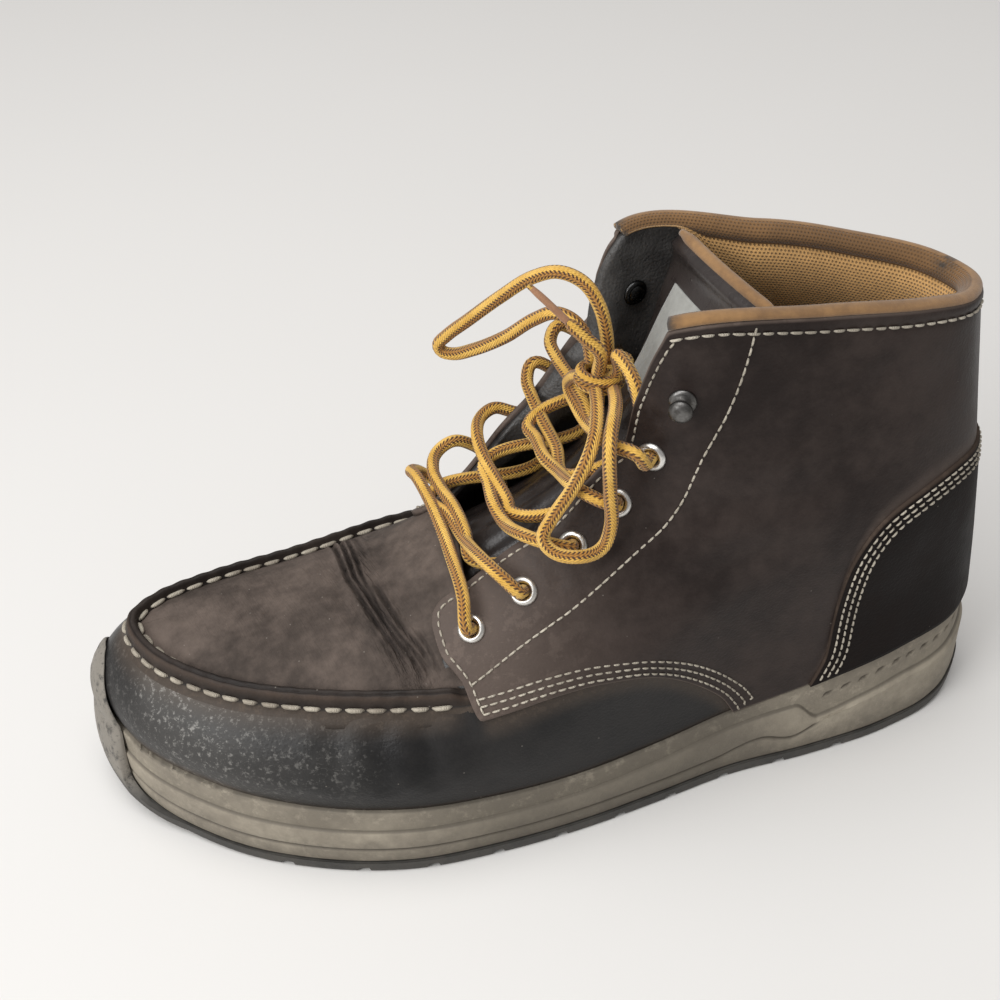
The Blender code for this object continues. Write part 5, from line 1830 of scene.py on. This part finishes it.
@dataclass
class Quarter:
    """One side's quarter with its eyestay, over the vamp."""

    last: Last
    stitcher: Stitcher
    side: Side
    thick: float = 1.6
    rows: int = 64
    DENTS = (
        Crease(0.7, 6, (((7.45, 0.62), (7.9, 0.6), (8.5, 0.58), (9, 0.6)),)),
        Crease(0.6, 6.5, (((6.6, 0.5), (7.2, 0.47), (7.9, 0.46), (8.6, 0.48)),)),
        Crease(0.5, 5, (((5.9, 0.5), (6.5, 0.43), (7.1, 0.38)),)),
        Crease(0.5, 1.6, (((7.66, 0.84), (7.8, 0.815), (7.98, 0.8)),)),
        Crease(0.5, 2.2, (((5.86, 0.72), (5.98, 0.66), (6.05, 0.6)),)),
        Crease(0.5, 7, (((9.3, 0.86), (9.9, 0.8), (10.6, 0.8)),)),
    )
    COLLAR_ROW = ((8.02, 0.966), (8.3, 0.963), (8.52, 0.958), (9.12, 0.953), (9.9, 0.95), (10.84, 0.95), (12, 0.95))
    EYESTAY_ROW = (
        (8.53, 0.972), (8.44, 0.9), (8.24, 0.79), (7.65, 0.64), (6.89, 0.58), (6.15, 0.55), (5.58, 0.52), (4.9, 0.455)
    )
    # Rows of the bevelled rim: height over the edge, how far they drop, and how rubbed they are
    BEVEL = (0, 0.25, 0.6, 1.1)
    DROP = (0.55, 0.2, 0.04)
    RUBBED = (1, 0.9, 0.55)
    VAMP_ROWS = (2.3, 4.9, 7.5)

    def build(self) -> None:
        """Make the leather and its stitches."""
        low_line = np.r_[
            self.last.trace(QUARTER_LOW, 1.1), np.stack([np.linspace(8.06, 8.87, 22), np.zeros(22)], -1),
            self.last.trace(COUNTER, 1.1),
        ]
        stations, order = np.unique(np.round(low_line[:, 0], 4), return_index=True)
        low = low_line[order, 1]
        long = self.last.length(stations)
        low = np.clip(np.where(stations > 8.9, low - 2 / long, low), 0, 1)
        top = np.maximum(self.last.throat(stations), low + 0.002)
        bevel = np.array(self.BEVEL)[:, None]
        room = np.maximum(top - low, 1e-5)
        inset = np.minimum(bevel / long, room * 0.3 * bevel / bevel[-1])
        middle = low + inset[-1] + (room - 2 * inset[-1]) * np.linspace(0, 1, self.rows)[:, None]
        height = np.r_[low + inset[:-1], middle, top - inset[-2::-1]]
        rim = np.r_[self.DROP, np.zeros(self.rows), self.DROP[::-1]]
        offset = np.full(height.shape, GAP + self.thick) - rim[:, None]
        row = smooth(self.COLLAR_ROW)(stations)
        puffed = 0.6 * np.exp(-(((height - 0.46 * row - 0.535) / 0.011) ** 2))
        drawn = 0.35 * np.exp(-(((height - row) / 0.008) ** 2))
        offset += ease(stations, 7.95, 8.2) * (puffed - drawn)
        folded = self.last.wall(stations, height)
        for dent in self.DENTS:
            offset += dent.press(self.last, folded)[0]
        edge = np.r_[self.RUBBED, np.zeros(self.rows), self.RUBBED[::-1]][:, None] * np.ones(height.shape)
        # Painted sheen: the quarter's front, ahead of station 6.9, is painted lighter in the edge colour for the light
        # on the eyestay
        edge = np.maximum(edge, 0.85 * (1 - ease(stations, 5, 6.9)))
        edge = np.maximum(edge, 0.5 * (1 - ease((height - low) * long, 3, 9)) * ease(stations, 8.8, 9.1))
        word, station = self.side.word, stations * self.side.value
        outer = self.last.skin(station, height, offset)
        made = as_object(f"quarter_{word}_leather", sheet(outer, self.last.wall(station, height), {"edge": edge}))
        cut(made, lace_holes(self.last, [self.side]))
        dress(made, Slot.QUARTER, [f"quarter_{word}"], QUARTER_LEATHER)
        self.stitches()

    def stitches(self) -> None:
        """Single rows on eyestay and collar, three rows over the vamp."""
        sign = self.side.value
        low = self.last.trace(QUARTER_LOW, 0.8, sign)
        front = low[np.abs(low[:, 0]) < 4.985]
        rear = low[np.abs(low[:, 0]) > 4.99]
        throat = self.last.trace([row for row in THROAT if row[0] < 8.06], 0.8, sign)
        edge = np.r_[front[::-1], throat]
        rows = [(self.last.inset(rear, inset * sign), PANEL_STITCH) for inset in self.VAMP_ROWS]
        rows += [
            (self.last.inset(edge, -2.4 * sign)[3:], EDGE_STITCH),
            (self.last.trace(self.EYESTAY_ROW, 0.8, sign), EYESTAY_STITCH),
            (self.last.trace(self.COLLAR_ROW, 0.8, sign), COLLAR_STITCH),
        ]
        made = joined([self.stitcher.row(line, GAP + self.thick, stitch) for line, stitch in rows])
        dress(as_object(f"quarter_{self.side.word}_stitches", made), Slot.QUARTER, [], CREAM_THREAD)


@dataclass
class HeelCounter:
    """Leather round the heel, over the quarters."""

    last: Last
    stitcher: Stitcher
    thick: float = 2.7
    rows: int = 50
    # Rows of the bevelled rim: height over the edge, how far they drop, and how rubbed they are
    BEVEL = (0, 0.3, 0.7, 1.2)
    DROP = (0.06, 0.3, 0.8)
    RUBBED = (0.6, 0.9, 1)
    STITCH_ROWS = (2.2, 4.7, 7.2)

    def build(self) -> None:
        """Make the leather and its stitches."""
        edge_line = self.last.trace(COUNTER, 1)
        stations, order = np.unique(np.round(edge_line[:, 0], 4), return_index=True)
        top = edge_line[order, 1]
        stations = np.r_[stations, STATIONS - stations[-2::-1]]
        top = np.r_[top, top[-2::-1]]
        long = self.last.length(stations)
        bevel = np.array(self.BEVEL)[:, None]
        inset = np.minimum(bevel / long, top * 0.3 * (bevel / bevel[-1]))
        share = np.linspace(0, 1, self.rows)[:, None]
        height = np.r_[share * (top - inset[-1]), top - inset[-2::-1]]
        rim = np.r_[np.zeros(self.rows), self.DROP][:, None]
        edge = np.r_[np.zeros(self.rows), self.RUBBED][:, None] * np.ones(height.shape)
        outer = self.last.skin(stations, height, GAP + self.thick - rim)
        surface = sheet(outer, self.last.skin(stations, height, 0.2), {"edge": edge})
        dress(as_object("heel_counter_leather", surface), Slot.COUNTER, ["heel_counter"], COUNTER_LEATHER)
        rows = []
        for sign in (1, -1):
            line = self.last.trace(COUNTER, 0.8, sign)
            for distance in self.STITCH_ROWS:
                inner = self.last.inset(line, -distance * sign)
                inner = inner[inner[:, 1] > 0.01]
                rows.append(self.stitcher.row(inner, GAP + self.thick, PANEL_STITCH))
        dress(as_object("heel_counter_stitches", joined(rows)), Slot.COUNTER, [], CREAM_THREAD)


@dataclass
class Collar:
    """Padded collar lining rolled over the top line."""

    last: Last
    # Section: distance below the top line, offset outward from the upper's face, and padding
    SECTION = (
        (2.2, 1.9, 0), (1.7, 2.2, 0), (0.9, 2.15, 0), (0, 1.4, 0), (-0.5, 0, 0), (-0.45, -1.5, 0),
        (0.4, -2.6, -0.5), (1.8, -3.3, -1.3), (3.4, -3.5, -1.7), (5, -3.4, -1.3), (5.9, -3.2, -0.3),
        (6.8, -3.4, -1.2), (9.5, -3.5, -2.8), (16, -3.5, -3.9), (23, -3.4, -3.2), (30, -3.4, -1.6),
        (34, -3.4, -0.6), (34.5, -2.7, 0), (18, -2.7, 0), (3.6, -2.7, 0),
    )
    roll: float = 2.4

    def build(self) -> None:
        """Make the collar."""
        half = np.linspace(8.03, 12, 120)
        stations = np.r_[half, STATIONS - half[-2::-1]]
        section = np.array(self.SECTION)
        order = np.arange(len(section))
        read = np.linspace(0, len(section) - 4, (len(section) - 4) * 3 + 1)
        curve = reread(read, order, section)
        for _ in range(2):
            curve[1:-1] = (curve[:-2] + 2 * curve[1:-1] + curve[2:]) / 4
        curve = np.r_[curve, section[-3:]]
        below, out, pad = curve.T
        folded = np.minimum(stations, STATIONS - stations)
        fullness = smooth(((8, 0), (8.4, 0.1), (9, 1), (12, 1)))(folded)
        depth = smooth(((8, 0.02), (8.44, 0.03), (8.64, 1), (12, 1)))(folded)
        long = self.last.length(stations)
        level = np.where(below > self.roll, self.roll + (below - self.roll) * depth[:, None], below)
        height = 1 - np.maximum(level, 0) / long[:, None]
        points = self.last.skin(stations[:, None], height, out + pad * fullness[:, None])
        points[..., 2] += np.maximum(-below, 0)[None]
        count = len(below)
        closed = np.concatenate([points, points[:, :1]], 1)
        faces = grid_faces(len(stations), count + 1)
        last = (len(stations) - 1) * (count + 1)
        faces += [tuple(range(count)), tuple(range(last, last + count))]
        along = distances(points[:, 12])
        around = np.append(distances(curve[:, :2]), 60)
        uv = np.stack(np.broadcast_arrays(along[:, None], around[None]), -1).reshape(-1, 2)
        kind = np.where(np.arange(count) < 14, 0, np.where(below < 6.1, 1, 2))
        patch = np.r_[np.tile(kind, len(stations) - 1), [2, 2]]
        heel = np.exp(-(((stations - 12.6) / 0.25) ** 2))[:, None] * np.exp(-(((below - 0.5) / 2.5) ** 2))[None]
        front = np.exp(-(((folded - 8.03) / 0.06) ** 2))[:, None] * np.ones(count)[None]
        dirt = np.concatenate([np.maximum(heel, front), np.zeros((len(stations), 1))], 1)
        surface = Surface(closed.reshape(-1, 3), faces, {"dirt": dirt.ravel()}, uv, patch)
        made = as_object("collar_padding", surface)
        dress(made, Slot.COLLAR, ["collar"], TAN_BINDING, COLLAR_ROLL, COLLAR_MESH)


@dataclass
class Tongue:
    """Tongue from under the apron to its bound top edge, with a bare label."""

    thick: float = 3.0
    across: int = 61
    rows: int = 110
    # Middle line from under the apron to the top edge: x, z, half width, bow and skew
    PROFILE = (
        (193, 81.6, 21, 5, 0), (178, 87.5, 22, 6, 0), (158, 98, 22.5, 8, -0.02), (137, 113, 22.5, 9, -0.05),
        (118, 136, 23, 8, -0.1), (104, 159, 24.5, 4.5, -0.18), (95.2, 173, 25, 2.2, -0.235),
        (92.6, 178.4, 24.2, 1.2, -0.255),
    )
    FOLDS = ((-0.55, 0.9, 0.1), (-0.2, 0.6, 0.09), (0.35, 0.8, 0.1), (0.7, 0.7, 0.08))

    def build(self) -> None:
        """Make the leather, its binding and the label."""
        order = np.arange(len(self.PROFILE))
        table = np.array(self.PROFILE, float)
        read = np.linspace(0, len(table) - 1, self.rows)
        x, z, half, bow, skew = (smooth(np.stack([order, table[:, k]], -1))(read) for k in range(5))
        along = unit(np.stack([np.gradient(x), np.gradient(z)], -1))
        s = np.linspace(-1, 1, self.across)
        share = read / read[-1]
        wider = 2.3 * ease(share, 0.5, 0.85)[:, None] * s[None] * np.abs(s[None]) ** 3
        y = half[:, None] * s[None] + wider
        inward = np.stack([-along[:, 1], along[:, 0]], -1)
        relief = np.zeros((self.rows, self.across))
        front = 1 - ease(share, 0.55, 0.8)[:, None]
        for centre, depth, width in self.FOLDS:
            line = centre + 0.12 * np.sin(share * 7 + centre * 4)
            relief += depth * np.exp(-(((s[None] - line[:, None]) / width) ** 2)) * front
        drop = bow[:, None] * s[None] ** 2 + relief
        fore = x[:, None] + skew[:, None] * y + inward[:, :1] * drop
        top = np.stack([fore, y, z[:, None] + inward[:, 1:] * drop], -1)
        face = unit(np.cross(np.gradient(top, axis=1), np.gradient(top, axis=0)))
        face *= np.where(face[..., :1] < 0, -1, 1)
        top = top + face * (1.9 * np.exp(-(((share - 0.89) / 0.05) ** 2)))[:, None, None]
        edge = 0.8 * (np.abs(s)[None] ** 12 + ease(share, 0.985, 1)[:, None])
        outer = top - face * np.clip(edge, 0, 1)[..., None]
        surface = sheet(outer, top - face * (self.thick - 0.6 * np.clip(edge, 0, 1))[..., None])
        dress(as_object("tongue_leather_flap", surface), Slot.TONGUE, ["tongue"], TONGUE_LEATHER)
        self.binding(top, face)
        self.label(top, face)

    def binding(self, top: Array, face: Array) -> None:
        """Lay the tan binding over the top edge.

        Args:
            top: Points of the tongue's face.
            face: Its normals.
        """
        edge = top[-1] - face[-1] * self.thick / 2
        side = top[-1] - top[-4]
        path = even(edge + unit(side) * -0.6, 1)
        taper = np.linspace(0, 1, len(path))
        surface = tube(path, 1.2 + 0.8 * ease(np.minimum(taper, 1 - taper), 0, 0.12), 16)
        dress(as_object("tongue_binding", surface), Slot.COLLAR, [], TAN_BINDING)

    def label(self, top: Array, face: Array) -> None:
        """Sew a bare woven patch under the top edge.

        Args:
            top: Points of the tongue's face.
            face: Its normals.
        """
        rows, columns = slice(62, 86), slice(11, 47)
        outer = top[rows, columns] + face[rows, columns] * 0.55
        surface = sheet(outer, top[rows, columns] - face[rows, columns] * 0.2)
        dress(as_object("tongue_patch", surface), Slot.TONGUE, [], PALE_LABEL)


@dataclass
class Hardware:
    """Eyelets and lace studs."""

    last: Last
    segments: int = 36
    EYELET = (
        (2.35, -2.4), (2.35, 1.2), (2.45, 2.3), (2.75, 2.95), (3.2, 3.25), (3.7, 3.2), (4.2, 2.85), (4.55, 2.35),
        (4.6, 1.95), (4.45, 1.8), (2.95, 1.8), (2.95, -2.4), (2.35, -2.4),
    )
    HOOK = (
        (0, -4.5), (1.6, -4.55), (2.3, -4.3), (2.7, -3.9), (3.1, -4), (3.9, -3.7), (4.3, -3.1), (4.2, -2.5),
        (1.5, -2.4), (1.5, 1.8), (3.9, 1.8), (4.05, 2.2), (3.8, 2.75), (3, 3.05), (2.1, 3.3), (1.75, 3.8), (1.7, 5.6),
        (1.9, 6), (2.7, 6.15), (3.3, 6.4), (3.55, 6.9), (3.45, 7.6), (3, 8.2), (2.2, 8.7), (1.1, 8.95), (0, 9),
    )

    def build(self) -> None:
        """Make ten eyelets and two studs."""
        for side in Side:
            for number, place in enumerate(EYELETS, 1):
                surface = turned(self.EYELET, *self.last.seat(place, side), self.segments)
                made = as_object(f"eyelet_ring_{side.word}_{number}", surface, 50)
                dress(made, Slot.EYELET, [f"eyelet_{side.word}_{number}"], SILVER)
            surface = turned(self.HOOK, *self.last.seat(STUD, side), self.segments)
            surface.patch = np.repeat([int(rise < -1) for _, rise in self.HOOK[1:]], self.segments)
            made = as_object(f"lace_stud_{side.word}", surface, 50)
            dress(made, Slot.STUD, [f"hook_{side.word}"], PEWTER, BLACK_METAL)


@dataclass
class Sole:
    """Midsole with moulded bands, rubber outsole with its bumper, and the footbed."""

    last: Last
    plate: float = 4.6
    flare: float = 2.5
    bumper: float = 3.0
    groove_width: float = 4.0
    groove_depth: float = 2.2
    SIDE_LINES = (
        (0, 0.26, 0.62), (3.6, 0.26, 0.62), (6, 0.27, 0.64), (7.75, 0.24, 0.73), (8.35, 0.36, 0.75),
        (8.75, 0.22, 0.735), (9.05, 0.33, 0.42), (9.6, 0.4, 0.50), (10.3, 0.46, 0.56), (12, 0.46, 0.56),
    )
    BUMPER_TOP = ((0, 54), (0.25, 52), (0.5, 46.5), (0.68, 39), (0.76, 30), (0.84, 14), (1.13, 8.5), (1.5, 0))
    GROOVES = (52, 74, 95, 115, 134, 155, 177, 199, 222, 247)
    SLOTS = (9.16, 9.38, 9.6, 9.82, 10.04, 10.26, 10.48, 10.7, 10.93, 11.16)

    def build(self) -> None:
        """Make the sole's pieces."""
        self.midsole()
        self.outsole()
        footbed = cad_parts["insole"]
        footbed.data.materials.clear()
        footbed.data.materials.append(FOOTBED.material())
        LOG.info("piece insole keeps its solid")

    def fold(self, station: Array) -> Array:
        """Station measured from the toe on either side."""
        station = np.mod(np.asarray(station, float), STATIONS)
        return np.minimum(station, STATIONS - station)

    def mirrored(self, stations: Array) -> Array:
        """Stations of the outer side and their partners, once round."""
        return np.r_[stations, STATIONS - stations[-2:0:-1]]

    def plate_top(self, points: Array) -> Array:
        """Top of the outsole plate under given points."""
        return self.last.ground(points[:, 0]) + self.plate

    def midsole(self) -> None:
        """Grey wedge with its bands, lines and slots."""
        stations = self.mirrored(np.r_[np.linspace(0, 9, 260, endpoint=False), np.linspace(9, 12, 190)])
        folded = self.fold(stations)
        top = self.last.outline(stations, 0)
        bottom = self.plate_top(self.last.outline(stations, self.flare)) + GAP
        lines = np.array(self.SIDE_LINES)
        lower = smooth(lines[:, [0, 1]])(folded)
        upper = smooth(lines[:, [0, 2]])(folded)
        one = np.ones_like(lower)
        live = 1 - ease(folded, 8.98, 9.1)
        f = self.flare
        # Bands up the side: share of the way up, reach outward, and painted shade in the moulded line, on the step and
        # at the top under the upper
        bands = (
            (0 * one, f - 0.5, 0), (0.03 * one, f - 0.05, 0), (lower * 0.5, f, 0), (lower - 0.05, f - 0.05, 0),
            (lower - 0.025, f - 0.15 * live, 0.2 * live), (lower - 0.01, f - 0.7 * live, 0.9 * live),
            (lower, f - 0.95 * live, live), (lower + 0.012, f - 0.75 * live, 0.9 * live),
            (lower + 0.03, f - 0.35 * live, 0.2 * live), (lower + 0.045, f - 0.25 * live, 0),
            ((lower + upper) / 2, f - 0.3 * live, 0),
            (upper - 0.04, f - 0.45, 0), (upper - 0.015, f - 0.65, 0.1), (upper, f - 1.1, 0.7),
            (upper + 0.015, f - 1.6, 1), (upper + 0.03, f - 1.65, 0.5),
        )
        bands += tuple(
            (upper + 0.03 + (0.91 - upper) * k / 30, f - 1.65 - 0.4 * k / 30, 0) for k in range(1, 31)
        )
        bands += ((0.965 * one, 0.35, 0), (0.985 * one, 0.2, 0.1), (one, -0.2, 0.5))
        crust = ease(folded, 0.85, 1.1) * (1 - ease(folded, 2, 2.5))
        crust = crust * (0.6 + 0.22 * np.sin(folded * 41) + 0.18 * np.sin(folded * 97 + 1))
        waist = ease(folded, 3.6, 5.2) * (1 - ease(folded, 7.5, 9.5))
        rings, groove, rim = [], [], []
        for share, reach, dark in bands:
            inset = np.zeros_like(lower)
            for slot in self.SLOTS:
                middle = upper + 0.03 + (0.91 - upper) * 0.55
                lean = (share - middle) * 0.6
                gate = 1 - ease(np.abs(folded - slot - lean), 0.04, 0.06)
                inset += gate * 0.8 * (1 - ease(np.abs(share - middle), 0.014, 0.03))
            raised = crust * ease(share, 0.93, 1)
            ring = self.last.outline(stations, reach - inset + raised * 0.9)
            ring[:, 2] = bottom + (top[:, 2] - bottom) * share + raised
            rings.append(ring)
            # Painted shade in the lines and slots, and the waist painted darker
            groove.append(np.clip(dark + 1.2 * inset + 0.75 * waist, 0, 1) * one)
            rim.append(np.clip(0.3 * ease(share - upper, 0, 0.05) + 0.5 * raised, 0, 1))
        surface = self.capped(rings)
        surface.paint = {"groove": np.concatenate(groove), "rim": np.concatenate(rim)}
        dress(as_object("midsole_wedge", surface, 60), Slot.MIDSOLE, ["midsole"], FOAM)

    def capped(self, rings: list[Array]) -> Surface:
        """Close rings of mirrored stations, capped rung by rung at both ends.

        Args:
            rings: Points of each ring.

        Returns:
            The closed surface.
        """
        count = len(rings[0])
        faces = grid_faces(len(rings), count, wrap=True)
        half = count // 2
        for start in (0, (len(rings) - 1) * count):
            faces += [(start, start + 1, start + count - 1), (start + half - 1, start + half, start + half + 1)]
            faces += [
                (start + k, start + k + 1, start + count - k - 1, start + count - k) for k in range(1, half - 1)
            ]
        return Surface(np.concatenate(rings), faces)

    def outsole(self) -> None:
        """Rubber plate rolled up over the toe, with grooves between the lugs."""
        stations = self.mirrored(np.r_[np.linspace(0, 1.6, 60, endpoint=False), np.linspace(1.6, 12, 150)])
        reach = self.bumper * (1 - smooth(((0.84, 0), (1.6, 1)))(self.fold(stations)))
        side = self.flare + GAP + 0.1
        edge = self.last.outline(stations, side + reach)
        ground = self.last.ground(edge[:, 0])
        rings = []
        for inset, rise in ((0.9, 0), (0.4, 0.06), (0.1, 0.18), (0, 0.4), (0, 0.9)):
            ring = self.last.outline(stations, side + reach - inset)
            ring[:, 2] = ground + rise * self.plate
            rings.append(ring)
        low = self.last.outline(stations, side)
        edge[:, 2] = self.plate_top(low)
        rings.append(edge)
        levels = [(share, self.bumper * (1 - 0.6 * ease(share, 0.5, 1))) for share in np.linspace(0.08, 0.92, 12)]
        levels += [(share, self.bumper * offset) for share, offset in ((0.97, 0.34), (0.99, 0.24), (1, 0.12))]
        levels += [(share, 0.1) for share in np.linspace(1, 0, 10)]
        surface = self.capped(rings + self.bumper_rings(stations, low, reach, levels))
        # Painted light: the toe bumper's face, from 8 to 16 mm up, is painted lighter towards the third colour
        surface.paint["rim"] = 0.95 * ease(surface.points[:, 2], 8, 16)
        made = as_object("outsole_tread", surface, 40)
        cut(made, self.groove_cutter())
        made.data.polygons.foreach_set("use_smooth", np.ones(len(made.data.polygons), bool))
        made.data.set_sharp_from_angle(angle=math.radians(40))
        dress(made, Slot.OUTSOLE, ["outsole"], TREAD)

    def bumper_rings(self, stations: Array, low: Array, reach: Array, levels: Table) -> list[Array]:
        """Lead rings up the bumper: along the midsole's side, then the upper's wall.

        Args:
            stations: Stations of the rings.
            low: Edge of the plate.
            reach: How far the bumper stands out at each station.
            levels: Share of the way up and distance out from what lies under it, for each ring.

        Returns:
            Points of each ring.
        """
        base = self.plate_top(low)
        climb = np.maximum(smooth(self.BUMPER_TOP)(self.fold(stations)) - base, 0)
        rim = self.last.outline(stations, 0)
        wall_rows = np.linspace(0, 0.6, 61)
        grid = self.last.wall(stations[:, None], wall_rows[None])
        rings = []
        for share, offset in levels:
            z = base + climb * share
            lift = np.clip((z - base) / (rim[:, 2] - base), 0, 1)
            out = self.flare * (1 - lift * lift) + GAP + 0.2
            ring = self.last.outline(stations, out + offset * reach / self.bumper)
            ring[:, 2] = z
            above = np.nonzero(z > rim[:, 2])[0]
            if len(above):
                height = np.array([np.interp(z[k], grid[k, :, 2], wall_rows) for k in above])
                soft = 1 - (z[above] - rim[above, 2]) / 22
                ring[above] = self.last.skin(stations[above], height, GAP + 0.9 * soft + offset)
            rings.append(ring)
        return rings

    def groove_cutter(self) -> Surface:
        """Make wedges across the tread.

        Returns:
            The wedges as one surface.
        """
        half = self.groove_width / 2
        faces = [(3, 2, 1, 0), (4, 5, 6, 7)] + [(k, (k + 1) % 4, (k + 1) % 4 + 4, k + 4) for k in range(4)]
        corners = ((-half, -90), (half, -90), (half, 90), (-half, 90))
        levels = ((-2, 1.6), (self.groove_depth, 0.8))
        return joined([
            Surface(np.array([(x + dx * spread, y, z) for z, spread in levels for dx, y in corners]), faces)
            for x in self.GROOVES
        ])


def main() -> None:
    """Build the studio and every piece of the boot, in order."""
    logging.basicConfig(level=logging.INFO, format="%(message)s")
    last = Last()
    stitcher = Stitcher(last)
    Studio().build()
    Lacing(last).build()
    Sole(last).build()
    Upper(last).build()
    MocSeam(last, stitcher).build()
    for side in Side:
        Quarter(last, stitcher, side).build()
    HeelCounter(last, stitcher).build()
    Collar(last).build()
    Tongue().build()
    Hardware(last).build()


if __name__ == "__main__":
    main()
